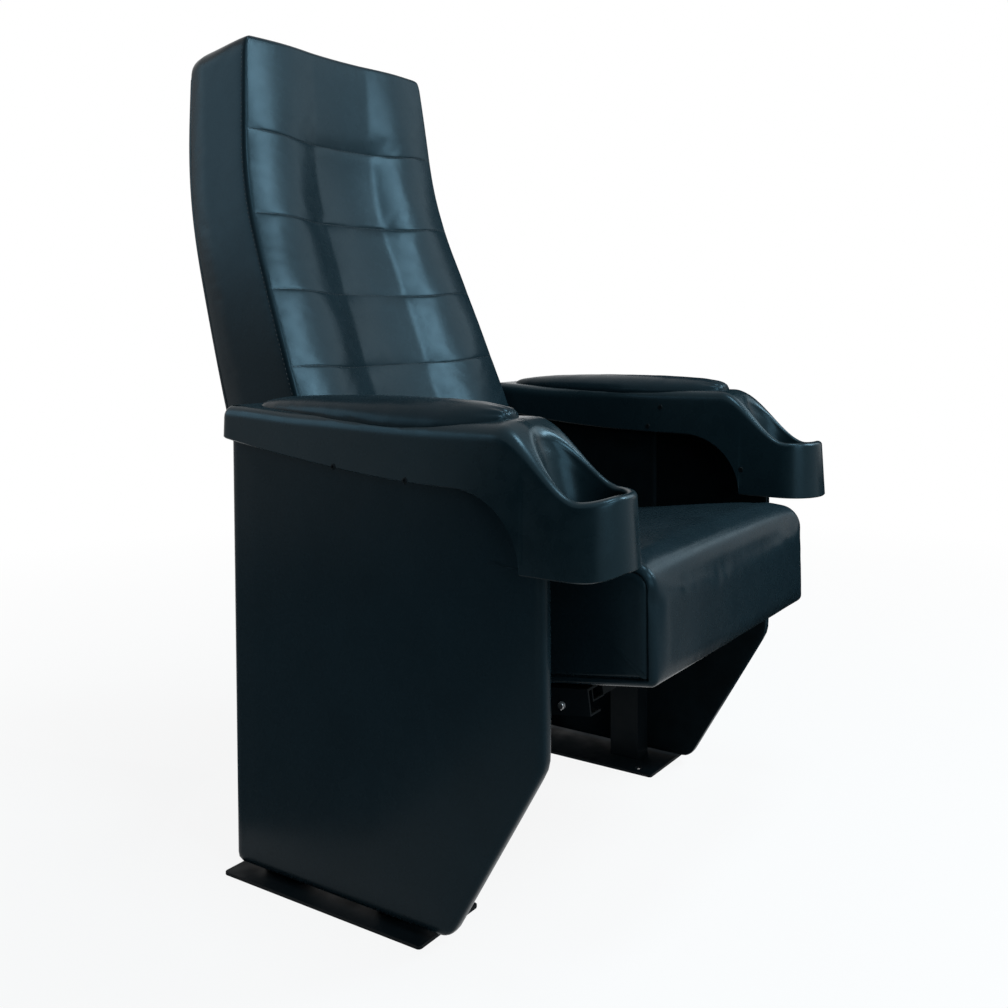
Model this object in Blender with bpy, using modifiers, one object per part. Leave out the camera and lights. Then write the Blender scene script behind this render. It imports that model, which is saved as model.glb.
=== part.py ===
"""Push-back auditorium chair with cup-holder arms.

Metres, +Z up. The sitter faces -Y and has the left arm at +X. The floor is z = 0.
The back turns on two studs in the stand. Its levers reach down to slotted brackets on the seat frame,
so the seat rolls forward in two channel rails as the back reclines.
"""

from math import asin, atan2, cos, hypot, pi, radians, sin, tan

import bmesh
import bpy
from mathutils import Vector

SIDES = (("left", 1), ("right", -1))
GAP = 0.0003

# Seat
SEAT_WIDTH = 0.441
SEAT_FRONT_Y = -0.392
SEAT_FRONT_TOP_Z = 0.446
SEAT_THICKNESS = 0.138
SEAT_TILT = radians(8.0)
SEAT_CROWN = 0.012
SEAT_CROWN_EDGE = 0.19
SEAT_SIDE_DRAW = 0.003
SEAT_EDGE_STEPS = 2
SEAT_NOSE_RADIUS = 0.030
SEAT_FOOT_RADIUS = 0.010
SEAT_EDGE_RADIUS = 0.012
SEAT_BACK_CLEARANCE = 0.008
SEAT_BOARD_THICKNESS = 0.012
SEAT_BOARD_MARGIN = 0.026

# Arms
CUP_RADIUS_FOOT = 0.051
CUP_RADIUS_RIM = 0.0465
CUP_WALL = 0.006
CUP_FLOOR = 0.006
CUP_BORE_FOOT_RADIUS = 0.036
CUP_BORE_REACH = 0.030
CUP_RIM_EDGE = 0.006
CUP_NOSE_Y = -0.400
CUP_SIDE_CLEARANCE = 0.005
ARM_TOP_Z = 0.590
ARM_HUMP_RISE = 0.006
ARM_HUMP_Y = -0.255
CUP_RIM_DROP = 0.071
CUP_SLOPE_LENGTH = 0.105
CUP_DEPTH = 0.1435
ARM_REAR_Y = 0.175
ARM_REAR_RADIUS = 0.010
ARM_EDGE_RADIUS = 0.012
ARM_WALL = 0.0035
ARM_TOP_WALL = 0.004
ARM_SKIRT_REAR = 0.034
ARM_SKIRT_FRONT = 0.060
ARM_SKIRT_CURVE = 2.5
ARM_SKIRT_DRAFT = 0.001
ARM_STAND_CLEARANCE = 0.0065
ARCH_LENGTH = 0.090
ARCH_FOOT_Y = -0.290
CUP_BACK_WALL = 0.010

# Arm pads
PAD_FRONT_Y = -0.248
PAD_REAR_Y = 0.145
PAD_HALF_WIDTH = 0.0345
PAD_FRONT_POWER = 0.35
PAD_REAR_POWER = 0.55
PAD_CROWN = 0.029
PAD_CROWN_POWER = 0.6
PAD_WIDEST = 0.30
PAD_SECTION_STEPS = 5
PAD_RECESS = 0.003
PAD_CLEARANCE = 0.0008

# Stand
PLATE_WIDTH = 0.107
PLATE_INSET = 0.007
PLATE_THICKNESS = 0.004
PLATE_FRONT_Y = -0.150
PLATE_REAR_Y = 0.172
PLATE_CORNER = 0.004
ANCHOR_HOLE_RADIUS = 0.0055
ANCHOR_EDGE = 0.016
ANCHOR_INSET = 0.030
POST_WIDTH = 0.032
POST_DEPTH = 0.050
POST_WALL = 0.002
FRONT_POST_Y = -0.080
REAR_POST_Y = 0.110
ARM_RAIL_HEIGHT = 0.025
ARM_RAIL_FRONT_Y = -0.235
ARM_RAIL_REAR_Y = 0.150
PANEL_GAP = 0.0005
OUTER_PANEL_THICKNESS = 0.018
OUTER_PANEL_EDGE = 0.006
PANEL_BOTTOM_Z = 0.012
PANEL_REAR_MARGIN = 0.007
PANEL_TOP_MARGIN = 0.016
PANEL_FRONT_Y = -0.307
PANEL_SLANT_TOP_Z = 0.230
PANEL_SLANT_FOOT_Y = -0.178
PANEL_CORNER = 0.012
PANEL_ARCH_CLEARANCE = 0.002
INNER_PANEL_THICKNESS = 0.009
INNER_PANEL_EDGE = 0.003
INNER_PANEL_FRONT_Y = -0.140
INNER_PANEL_REAR_Y = 0.080
INNER_PANEL_BOTTOM_Z = 0.330

# Beams, slide rails and rollers, in the tilted frame of the slide
BEAM_SIZE = 0.040
BEAM_WALL = 0.002
FLANGE_THICKNESS = 0.006
FLANGE_MARGIN = 0.014
FLANGE_HOLE_RADIUS = 0.0045
RAIL_SEAT_CLEARANCE = 0.004
RAIL_WALL = 0.0025
RAIL_FLANGE = 0.022
RAIL_SIDE_INSET = 0.006
RAIL_FRONT = 0.090
RAIL_OVERHANG = 0.005
ROLLER_RADIUS = 0.0125
ROLLER_WIDTH = 0.012
ROLLER_CHAMFER = 0.0015
AXLE_RADIUS = 0.004
FRONT_ROLLER_SETBACK = 0.190
REAR_ROLLER_SETBACK = 0.400
BUFFER_LENGTH = 0.020
SEAT_TUBE = 0.025
SEAT_TUBE_WALL = 0.002
SEAT_RAIL_FRONT = 0.100
ROLLER_SIDE_CLEARANCE = 0.0015
CROSS_TUBE_FRONT = 0.115
CROSS_TUBE_REAR = 0.380

# Recline drive
BACK_RECLINE = radians(12.0)
PIVOT_Z = 0.500
BRACKET_THICKNESS = 0.006
BRACKET_EYE_RADIUS = 0.024
BRACKET_HEIGHT = 0.090
STUD_RADIUS = 0.008
BUSH_WALL = 0.003
BUSH_FLANGE = 0.0025
BUSH_FLANGE_WIDTH = 0.004
LEVER_THICKNESS = 0.006
LEVER_PLATE_CLEARANCE = 0.012
LEVER_EYE_RADIUS = 0.022
LEVER_TIP_RADIUS = 0.014
DRIVE_PIN_RADIUS = 0.006
DRIVE_PIN_CLEARANCE = 0.001
DRIVE_PIN_OVERHANG = 0.003
DRIVE_PLATE_THICKNESS = 0.005
DRIVE_PLATE_MARGIN = 0.008
DRIVE_PLATE_LAP = 0.080
SPRING_X = 0.070
SPRING_RADIUS = 0.009
SPRING_WIRE = 0.0025
SPRING_TURNS = 9
SPRING_LUG_THICKNESS = 0.004
SPRING_LUG_WIDTH = 0.024

# Back
BACK_ARM_CLEARANCE = 0.0105
BACK_BOTTOM_Z = 0.375
BACK_TOP_Z = 1.102
BACK_TOP_NARROWING = 0.042
BACK_NARROWING_POWER = 1.35
BACK_NARROWING_START_Z = 0.560
BACK_FRONT_Y = 0.133
BACK_FRONT_Z = 0.589
BACK_FRONT_LEAN = 0.41
BACK_FRONT_TOP_LEAN = 0.09
BACK_FRONT_BEND_DROP = 0.322
BACK_FRONT_BEND_HEIGHT = 0.210
BACK_REAR_Y = 0.279
BACK_REAR_Z = 0.580
BACK_REAR_LEAN = 0.333
BACK_REAR_TOP_LEAN = 0.055
BACK_REAR_BEND_DROP = 0.362
BACK_REAR_BEND_HEIGHT = 0.280
BACK_FOAM = 0.058
BACK_SIDE_WALL = 0.028
BACK_TOP_WALL = 0.060
BACK_TOP_RADIUS = 0.028
BACK_TOP_FRONT_RADIUS = 0.006
BACK_TOP_FALL = 0.012
BACK_TOP_FLATTENING = 0.65
BACK_CENTRE_DISH = 0.014
BACK_DISH_REACH = 0.75
BACK_BOLSTER = 0.010
BACK_BOLSTER_START = 0.30
BACK_SEW_DEPTH = 0.005
BACK_SEW_WIDTH = 0.012
BACK_SEW_EASE = 0.15
BACK_SEW_SAG = 0.010
BACK_SAG_FADE = 0.080
BACK_HEADREST_SEAM_DROP = 0.134
BACK_SHOULDER_SEAM_DROP = 0.252
BACK_MIDDLE_SEAM_DROP = 0.357
BACK_LUMBAR_SEAM_DROP = 0.461
BACK_REAR_TUCK = 0.004
BACK_COVER_THICKNESS = 0.006
BACK_COVER_DROP = 0.050
BACK_COVER_INSET = 0.003
BACK_BOARD_THICKNESS = 0.010
BACK_TUBE_RADIUS = 0.0125
BACK_TUBE_BOTTOM_Z = 0.395
BACK_TUBE_DROP = 0.072
BACK_CROSS_RADIUS = 0.010
BACK_CROSS_LOWER_Z = 0.430
BACK_CROSS_DROP = 0.102
STUD_HOLE_CLEARANCE = 0.002

# Stand and arm positions that follow from the sizes above
STACK_WIDTH = INNER_PANEL_THICKNESS + POST_WIDTH + OUTER_PANEL_THICKNESS + 2 * PANEL_GAP
ARM_X = SEAT_WIDTH / 2 + CUP_SIDE_CLEARANCE + CUP_RADIUS_FOOT
ARM_HALF_REAR = STACK_WIDTH / 2 + ARM_STAND_CLEARANCE + ARM_WALL
INNER_PANEL_X = ARM_X - STACK_WIDTH / 2 + INNER_PANEL_THICKNESS / 2
POST_X = INNER_PANEL_X + INNER_PANEL_THICKNESS / 2 + PANEL_GAP + POST_WIDTH / 2
POST_INNER_X = POST_X - POST_WIDTH / 2
OUTER_PANEL_X = POST_X + POST_WIDTH / 2 + PANEL_GAP + OUTER_PANEL_THICKNESS / 2
CUP_Y = CUP_NOSE_Y + CUP_RADIUS_FOOT
CUP_BOTTOM_Z = ARM_TOP_Z - CUP_DEPTH
ARCH_TOP_Z = ARM_TOP_Z - ARM_SKIRT_FRONT
ARCH_TOP_Y = ARCH_FOOT_Y + ARCH_LENGTH
PAD_SEAT_Z = ARM_TOP_Z - PAD_RECESS
CAVITY_TOP_Z = PAD_SEAT_Z - ARM_TOP_WALL
ARM_RAIL_TOP_Z = CAVITY_TOP_Z - GAP
POST_TOP_Z = ARM_RAIL_TOP_Z - ARM_RAIL_HEIGHT - GAP
PANEL_TOP_Z = CAVITY_TOP_Z - PANEL_TOP_MARGIN
BACK_HALF_WIDTH = ARM_X - ARM_HALF_REAR - BACK_ARM_CLEARANCE

# Heights on the back that follow its top edge
BACK_SEW_Z = [BACK_TOP_Z - drop for drop in (BACK_LUMBAR_SEAM_DROP, BACK_MIDDLE_SEAM_DROP,
                                             BACK_SHOULDER_SEAM_DROP, BACK_HEADREST_SEAM_DROP)]
BACK_FRONT_BEND_Z = BACK_TOP_Z - BACK_FRONT_BEND_DROP
BACK_REAR_BEND_Z = BACK_TOP_Z - BACK_REAR_BEND_DROP
BACK_COVER_TOP_Z = BACK_TOP_Z - BACK_COVER_DROP
BACK_TUBE_TOP_Z = BACK_TOP_Z - BACK_TUBE_DROP
BACK_CROSS_UPPER_Z = BACK_TOP_Z - BACK_CROSS_DROP

# Slide frame: its origin is the foot of the seat's front face, y runs rearward along the rails
SLIDE_Y = SEAT_FRONT_Y
SLIDE_Z = SEAT_FRONT_TOP_Z - SEAT_THICKNESS / cos(SEAT_TILT)
RAIL_TOP = -RAIL_SEAT_CLEARANCE
ROLLER_AXIS = RAIL_TOP - RAIL_WALL - GAP - ROLLER_RADIUS
RAIL_BOTTOM = ROLLER_AXIS - ROLLER_RADIUS - GAP - RAIL_WALL
RAIL_OUTER_X = SEAT_WIDTH / 2 - RAIL_SIDE_INSET
ROLLER_X = RAIL_OUTER_X - RAIL_WALL - ROLLER_SIDE_CLEARANCE - ROLLER_WIDTH / 2
SEAT_RAIL_X = RAIL_OUTER_X - RAIL_FLANGE - ROLLER_SIDE_CLEARANCE - SEAT_TUBE / 2
SEAT_TUBE_TOP = -GAP
SEAT_TUBE_AXIS = SEAT_TUBE_TOP - SEAT_TUBE / 2
BEAM_TOP = RAIL_BOTTOM - GAP
BEAM_AXIS = BEAM_TOP - BEAM_SIZE / 2

SMOOTH_ANGLE = radians(35)
FULL_ROUND = 0.99
FACING_SIDE = (pi / 2, 0, pi / 2)


def blend(amount):
    """Smooth step from 0 to 1."""
    amount = min(max(amount, 0.0), 1.0)
    return amount * amount * (3 - 2 * amount)


def mix(start, end, amount):
    return start + (end - start) * amount


def bend_reach(z, bend_z, bend_height):
    """Height by which a line has left its old lean, growing smoothly over the bend and steadily above it."""
    turn = (z - bend_z) / bend_height
    if turn <= 0:
        return 0.0
    if turn < 1:
        return bend_height * (turn ** 3 - turn ** 4 / 2)
    return bend_height * (turn - 0.5)


def back_front(z):
    bent = bend_reach(z, BACK_FRONT_BEND_Z, BACK_FRONT_BEND_HEIGHT)
    return BACK_FRONT_Y + BACK_FRONT_LEAN * (z - BACK_FRONT_Z) + (BACK_FRONT_TOP_LEAN - BACK_FRONT_LEAN) * bent


def back_rear(z):
    bent = bend_reach(z, BACK_REAR_BEND_Z, BACK_REAR_BEND_HEIGHT)
    return BACK_REAR_Y + BACK_REAR_LEAN * (z - BACK_REAR_Z) + (BACK_REAR_TOP_LEAN - BACK_REAR_LEAN) * bent


def back_half_width(z):
    rise = max(z - BACK_NARROWING_START_Z, 0) / (BACK_TOP_Z - BACK_NARROWING_START_Z)
    return BACK_HALF_WIDTH - BACK_TOP_NARROWING * rise ** BACK_NARROWING_POWER


def behind_board(z, radius):
    """Where a round piece of that radius has its centre when it lies against the rear of the back board."""
    step = GAP
    lean = (back_front(z + step) - back_front(z - step)) / (2 * step)
    board_rear = back_front(z) + BACK_FOAM + GAP + BACK_BOARD_THICKNESS
    return board_rear + (GAP + radius) * hypot(1, lean)


def back_tube_y(z):
    return behind_board(z, BACK_TUBE_RADIUS)


def slide_to_world(y, z):
    """World y and z of a point given in the slide frame."""
    return (SLIDE_Y + y * cos(SEAT_TILT) + z * sin(SEAT_TILT),
            SLIDE_Z - y * sin(SEAT_TILT) + z * cos(SEAT_TILT))


def world_to_slide(y, z):
    """Slide-frame y and z of a world point."""
    return ((y - SLIDE_Y) * cos(SEAT_TILT) - (z - SLIDE_Z) * sin(SEAT_TILT),
            (y - SLIDE_Y) * sin(SEAT_TILT) + (z - SLIDE_Z) * cos(SEAT_TILT))


def seat_depth():
    """Depth at which the seat's rear top edge stops short of the back's front line."""
    top_y, top_z = slide_to_world(0, SEAT_THICKNESS)
    back_y = BACK_FRONT_Y + BACK_FRONT_LEAN * (top_z - BACK_FRONT_Z)
    room = back_y - SEAT_BACK_CLEARANCE - BACK_BOLSTER - top_y
    return room / (cos(SEAT_TILT) + BACK_FRONT_LEAN * sin(SEAT_TILT))


PIVOT_Y = behind_board(PIVOT_Z, LEVER_EYE_RADIUS)
PIVOT_SLIDE_Y, PIVOT_SLIDE_Z = world_to_slide(PIVOT_Y, PIVOT_Z)
LEVER_LENGTH = PIVOT_SLIDE_Z - SEAT_TUBE_AXIS
PIN_LIFT = LEVER_LENGTH * (1 - cos(BACK_RECLINE))
SEAT_DEPTH = seat_depth()
DRIVE_PLATE_X = SEAT_RAIL_X - SEAT_TUBE / 2 - GAP - DRIVE_PLATE_THICKNESS / 2
LEVER_FACE_X = DRIVE_PLATE_X - DRIVE_PLATE_THICKNESS / 2 - LEVER_PLATE_CLEARANCE
LEVER_X = LEVER_FACE_X - LEVER_THICKNESS / 2
BACK_TUBE_X = LEVER_X - LEVER_THICKNESS / 2 - GAP - BACK_TUBE_RADIUS
BRACKET_X = POST_INNER_X - GAP - BRACKET_THICKNESS / 2
FRONT_BEAM_Y = world_to_slide(FRONT_POST_Y, SLIDE_Z)[0]
REAR_BEAM_Y = world_to_slide(REAR_POST_Y, SLIDE_Z + BEAM_AXIS)[0]
ROOT_Y = -(CUP_NOSE_Y + back_rear(BACK_TOP_Z - BACK_TOP_RADIUS)) / 2


def clear_scene():
    for item in list(bpy.data.objects):
        bpy.data.objects.remove(item, do_unlink=True)


def new_collection(name):
    collection = bpy.data.collections.new(name)
    bpy.context.scene.collection.children.link(collection)
    return collection


def new_material(name, colour, roughness, metallic=0.0):
    material = bpy.data.materials.new(name)
    material.use_nodes = True
    shader = material.node_tree.nodes["Principled BSDF"]
    shader.inputs["Base Color"].default_value = (*colour, 1.0)
    shader.inputs["Roughness"].default_value = roughness
    shader.inputs["Metallic"].default_value = metallic
    return material


clear_scene()
PARTS = new_collection("auditorium_chair")
CUTTERS = new_collection("cutters")
LEATHERETTE = new_material("blue_black_leatherette", (0.018, 0.040, 0.055), 0.38)
PLASTIC = new_material("black_moulded_plastic", (0.012, 0.022, 0.028), 0.42)
BLACK_STEEL = new_material("black_painted_steel", (0.010, 0.014, 0.016), 0.50, 0.6)
ZINC = new_material("zinc_plated_steel", (0.55, 0.56, 0.58), 0.32, 1.0)
PLYWOOD = new_material("plywood", (0.42, 0.29, 0.16), 0.60)
NYLON = new_material("white_nylon", (0.75, 0.75, 0.72), 0.45)
RUBBER = new_material("black_rubber", (0.015, 0.015, 0.015), 0.80)


def new_empty(name, location, rotation=(0, 0, 0), parent=None):
    empty = bpy.data.objects.new(name, None)
    PARTS.objects.link(empty)
    empty.location = location
    empty.rotation_euler = rotation
    empty.parent = parent
    return empty


ROOT = new_empty("chair_root", (0, ROOT_Y, 0))
BACK = new_empty("back_pivot", (0, PIVOT_Y, PIVOT_Z), parent=ROOT)
SLIDE = new_empty("slide_frame", (0, SLIDE_Y, SLIDE_Z), (-SEAT_TILT, 0, 0), ROOT)
SEAT = new_empty("seat_carriage", (0, 0, 0), parent=SLIDE)


def finish(item, material, parent, location=(0, 0, 0), rotation=(0, 0, 0)):
    """Gives an object its material, parent and place, and links it with the parts."""
    PARTS.objects.link(item)
    item.data.materials.append(material)
    item.parent = parent
    item.location = location
    item.rotation_euler = rotation
    return item


def shade_round(mesh):
    mesh.shade_smooth()
    mesh.set_sharp_from_angle(angle=SMOOTH_ANGLE)


def circle(centre, radius, count=24):
    return [(centre[0] + radius * cos(2 * pi * step / count), centre[1] + radius * sin(2 * pi * step / count))
            for step in range(count)]


def rectangle(low, high):
    return [(low[0], low[1]), (high[0], low[1]), (high[0], high[1]), (low[0], high[1])]


def rounded(corners, steps=4):
    """Closed outline from (u, v, radius) corners, with an arc at each corner that has a radius."""
    outline = []
    for index, (u, v, radius) in enumerate(corners):
        here = Vector((u, v))
        if radius <= 0:
            outline.append((u, v))
            continue
        to_last = (Vector(corners[index - 1][:2]) - here).normalized()
        to_next = (Vector(corners[(index + 1) % len(corners)][:2]) - here).normalized()
        half = to_last.angle(to_next) / 2
        centre = here + (to_last + to_next).normalized() * (radius / sin(half))
        first = here + to_last * (radius / tan(half)) - centre
        last = here + to_next * (radius / tan(half)) - centre
        start = atan2(first.y, first.x)
        sweep = (atan2(last.y, last.x) - start + pi) % (2 * pi) - pi
        for step in range(steps + 1):
            angle = start + sweep * step / steps
            outline.append((centre.x + radius * cos(angle), centre.y + radius * sin(angle)))
    return outline


def eye_bar(eye, tip, length, steps=8):
    """Outline round a circle at the origin and a smaller one that hangs below it, joined by tangents."""
    lean = asin((eye - tip) / length)
    outline = []
    for radius, drop, start, sweep in ((eye, 0, -lean, pi + 2 * lean), (tip, length, pi + lean, pi - 2 * lean)):
        for step in range(steps + 1):
            angle = start + sweep * step / steps
            outline.append((radius * cos(angle), radius * sin(angle) - drop))
    return outline


def outline_curve(name, loops, thickness, edge=0.0):
    """Flat outline as a filled 2D curve, as thick as asked, with its rim rounded by edge."""
    data = bpy.data.curves.new(name, "CURVE")
    data.dimensions = "2D"
    data.fill_mode = "BOTH"
    data.extrude = thickness / 2 - edge
    data.bevel_depth = edge
    data.bevel_resolution = 1
    data.offset = -edge
    for loop in loops:
        spline = data.splines.new("POLY")
        spline.points.add(len(loop) - 1)
        for point, (u, v) in zip(spline.points, loop):
            point.co = (u, v, 0, 1)
        spline.use_cyclic_u = True
    return bpy.data.objects.new(name, data)


def path_tube(name, points, radius, sides_step):
    """Round tube along points, with closed ends."""
    data = bpy.data.curves.new(name, "CURVE")
    data.dimensions = "3D"
    data.bevel_depth = radius
    data.bevel_resolution = sides_step
    data.use_fill_caps = True
    spline = data.splines.new("POLY")
    spline.points.add(len(points) - 1)
    for point, place in zip(spline.points, points):
        point.co = (*place, 1)
    return bpy.data.objects.new(name, data)


def as_mesh(item):
    """Mesh object with the shape of a curve object, its caps welded; the curve is removed."""
    bpy.context.scene.collection.objects.link(item)
    graph = bpy.context.evaluated_depsgraph_get()
    mesh = bpy.data.meshes.new_from_object(item.evaluated_get(graph))
    name = item.name
    bpy.data.objects.remove(item, do_unlink=True)
    shape = bmesh.new()
    shape.from_mesh(mesh)
    bmesh.ops.remove_doubles(shape, verts=shape.verts, dist=1e-6)
    shape.to_mesh(mesh)
    shape.free()
    return bpy.data.objects.new(name, mesh)


def mesh_object(name, shape):
    mesh = bpy.data.meshes.new(name)
    shape.to_mesh(mesh)
    shape.free()
    return bpy.data.objects.new(name, mesh)


def box(name, low, high):
    shape = bmesh.new()
    bmesh.ops.create_cube(shape, size=1)
    for vert in shape.verts:
        vert.co = Vector([mix(low[axis], high[axis], vert.co[axis] + 0.5) for axis in range(3)])
    return mesh_object(name, shape)


def rod(name, radius, low_x, high_x, count=20):
    """Round bar along X."""
    shape = bmesh.new()
    bmesh.ops.create_cone(shape, cap_ends=True, segments=count, radius1=radius, radius2=radius, depth=1)
    for vert in shape.verts:
        x, y, z = vert.co
        vert.co = Vector((mix(low_x, high_x, z + 0.5), x, y))
    item = mesh_object(name, shape)
    shade_round(item.data)
    return item


def loft(name, rings):
    """Closed skin over rings of equal point counts; a ring that has shrunk to a point or a line closes up."""
    shape = bmesh.new()
    rows = [[shape.verts.new(point) for point in ring] for ring in rings]
    for row, following in zip(rows, rows[1:]):
        for index in range(len(row)):
            shape.faces.new((row[index - 1], row[index], following[index], following[index - 1]))
    shape.faces.new(rows[0])
    shape.faces.new(rows[-1])
    bmesh.ops.remove_doubles(shape, verts=shape.verts, dist=1e-6)
    bmesh.ops.dissolve_degenerate(shape, edges=shape.edges, dist=1e-6)
    bmesh.ops.triangulate(shape, faces=[face for face in shape.faces if len(face.verts) > 4])
    shape.normal_update()
    bmesh.ops.recalc_face_normals(shape, faces=shape.faces)
    item = mesh_object(name, shape)
    shade_round(item.data)
    return item


def combine(item, other, operation):
    """Cuts one mesh object with another, or joins it on, and keeps the other out of the model."""
    CUTTERS.objects.link(other)
    other.hide_render = True
    other.display_type = "WIRE"
    other.parent = item
    modifier = item.modifiers.new(other.name, "BOOLEAN")
    modifier.operation = operation
    modifier.solver = "EXACT"
    modifier.object = other
    return item


def floor_plates():
    inner = ARM_X - PLATE_INSET - PLATE_WIDTH / 2
    for side, sign in SIDES:
        corners = [(inner, PLATE_FRONT_Y, PLATE_CORNER), (inner + PLATE_WIDTH, PLATE_FRONT_Y, PLATE_CORNER),
                   (inner + PLATE_WIDTH, PLATE_REAR_Y, PLATE_CORNER), (inner, PLATE_REAR_Y, PLATE_CORNER)]
        loops = [rounded([(sign * x, y, r) for x, y, r in corners], steps=2)]
        for hole_y in (PLATE_FRONT_Y + ANCHOR_INSET, PLATE_REAR_Y - ANCHOR_INSET):
            loops.append(circle((sign * (inner + ANCHOR_EDGE), hole_y), ANCHOR_HOLE_RADIUS, 16))
        plate = outline_curve(f"floor_plate_{side}", loops, PLATE_THICKNESS)
        finish(plate, BLACK_STEEL, ROOT, (0, 0, PLATE_THICKNESS / 2))


def posts():
    bottom = PLATE_THICKNESS + GAP
    height = POST_TOP_Z - bottom
    outer = rectangle((-POST_WIDTH / 2, -POST_DEPTH / 2), (POST_WIDTH / 2, POST_DEPTH / 2))
    inner = rectangle((-POST_WIDTH / 2 + POST_WALL, -POST_DEPTH / 2 + POST_WALL),
                      (POST_WIDTH / 2 - POST_WALL, POST_DEPTH / 2 - POST_WALL))
    for side, sign in SIDES:
        for end, y in (("front", FRONT_POST_Y), ("rear", REAR_POST_Y)):
            post = outline_curve(f"{end}_post_{side}", [outer, inner], height)
            finish(post, BLACK_STEEL, ROOT, (sign * POST_X, y, bottom + height / 2))


def arm_rails():
    outer = rectangle((-POST_WIDTH / 2, -ARM_RAIL_HEIGHT / 2), (POST_WIDTH / 2, ARM_RAIL_HEIGHT / 2))
    inner = rectangle((-POST_WIDTH / 2 + POST_WALL, -ARM_RAIL_HEIGHT / 2 + POST_WALL),
                      (POST_WIDTH / 2 - POST_WALL, ARM_RAIL_HEIGHT / 2 - POST_WALL))
    middle_y = (ARM_RAIL_FRONT_Y + ARM_RAIL_REAR_Y) / 2
    for side, sign in SIDES:
        rail = outline_curve(f"arm_rail_{side}", [outer, inner], ARM_RAIL_REAR_Y - ARM_RAIL_FRONT_Y)
        place = (sign * POST_X, middle_y, ARM_RAIL_TOP_Z - ARM_RAIL_HEIGHT / 2)
        finish(rail, BLACK_STEEL, ROOT, place, (pi / 2, 0, 0))


def arch_z(y):
    """Lower edge of the arm skirt: a curved rise to the rear and an arch down to the cup's foot."""
    if y >= ARCH_TOP_Y:
        along = (y - ARCH_TOP_Y) / (ARM_REAR_Y - ARCH_TOP_Y)
        return mix(ARCH_TOP_Z, ARM_TOP_Z - ARM_SKIRT_REAR, along ** ARM_SKIRT_CURVE)
    if y <= ARCH_FOOT_Y:
        return CUP_BOTTOM_Z
    share = (ARCH_TOP_Y - y) / ARCH_LENGTH
    return CUP_BOTTOM_Z + (ARCH_TOP_Z - CUP_BOTTOM_Z) * (1 - share * share) ** 0.5


def arch_angles():
    """Steps round the arch, from its top to the cup's foot."""
    return [pi / 2 * step / 8 for step in range(9)]


def outer_panels():
    """Padded boards that run up inside the arms and follow the arch to stand under the cups."""
    rear = ARM_REAR_Y - PANEL_REAR_MARGIN
    length = ARCH_LENGTH - PANEL_ARCH_CLEARANCE
    height = ARCH_TOP_Z - CUP_BOTTOM_Z - PANEL_ARCH_CLEARANCE
    arch = [(ARCH_TOP_Y - length * sin(angle), CUP_BOTTOM_Z + height * cos(angle), 0) for angle in arch_angles()]
    lip = CUP_BOTTOM_Z - PANEL_ARCH_CLEARANCE
    corners = [(rear, PANEL_BOTTOM_Z, PANEL_CORNER), (rear, PANEL_TOP_Z, 0), (ARCH_TOP_Y, PANEL_TOP_Z, 0), *arch,
               (ARCH_TOP_Y - length, lip, 0), (PANEL_FRONT_Y, lip, 0),
               (PANEL_FRONT_Y, PANEL_SLANT_TOP_Z, 3 * PANEL_CORNER),
               (PANEL_SLANT_FOOT_Y, PANEL_BOTTOM_Z, PANEL_CORNER)]
    for side, sign in SIDES:
        panel = outline_curve(f"outer_panel_{side}", [rounded(corners)], OUTER_PANEL_THICKNESS, OUTER_PANEL_EDGE)
        finish(panel, LEATHERETTE, ROOT, (sign * OUTER_PANEL_X, 0, 0), FACING_SIDE)


def inner_panels():
    corners = rectangle((INNER_PANEL_FRONT_Y, INNER_PANEL_BOTTOM_Z), (INNER_PANEL_REAR_Y, PANEL_TOP_Z))
    for side, sign in SIDES:
        panel = outline_curve(f"inner_panel_{side}", [corners], INNER_PANEL_THICKNESS, INNER_PANEL_EDGE)
        finish(panel, LEATHERETTE, ROOT, (sign * INNER_PANEL_X, 0, 0), FACING_SIDE)


def arm_share(y):
    """How far along from the plain rear of the arm to the full width of the cup."""
    return blend((ARM_REAR_Y - y) / (ARM_REAR_Y - CUP_Y))


def arm_half_width(y):
    return mix(ARM_HALF_REAR, CUP_RADIUS_RIM, arm_share(y))


def arm_top_z(y):
    hump = ARM_TOP_Z + ARM_HUMP_RISE * (ARM_REAR_Y - max(y, ARM_HUMP_Y)) / (ARM_REAR_Y - ARM_HUMP_Y)
    return hump - CUP_RIM_DROP * blend((ARM_HUMP_Y - y) / CUP_SLOPE_LENGTH)


def arm_section(half_width, y, normal):
    """Half section of the arm at one plan point, from its lower edge up and round on to the top."""
    level = arm_top_z(y)
    slope = blend((ARM_HUMP_Y - y) / CUP_SLOPE_LENGTH)
    edge = mix(ARM_EDGE_RADIUS, CUP_RIM_EDGE, slope)
    draft = mix(ARM_SKIRT_DRAFT, CUP_RADIUS_FOOT - CUP_RADIUS_RIM, arm_share(y))
    profile = [(draft, arch_z(y))]
    for step in range(4):
        angle = pi / 2 * step / 3
        profile.append((edge * (cos(angle) - 1), level - edge + edge * sin(angle)))
    return [Vector((max(half_width + out * normal[0], 0), y + out * normal[1], z)) for out, z in profile]


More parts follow.
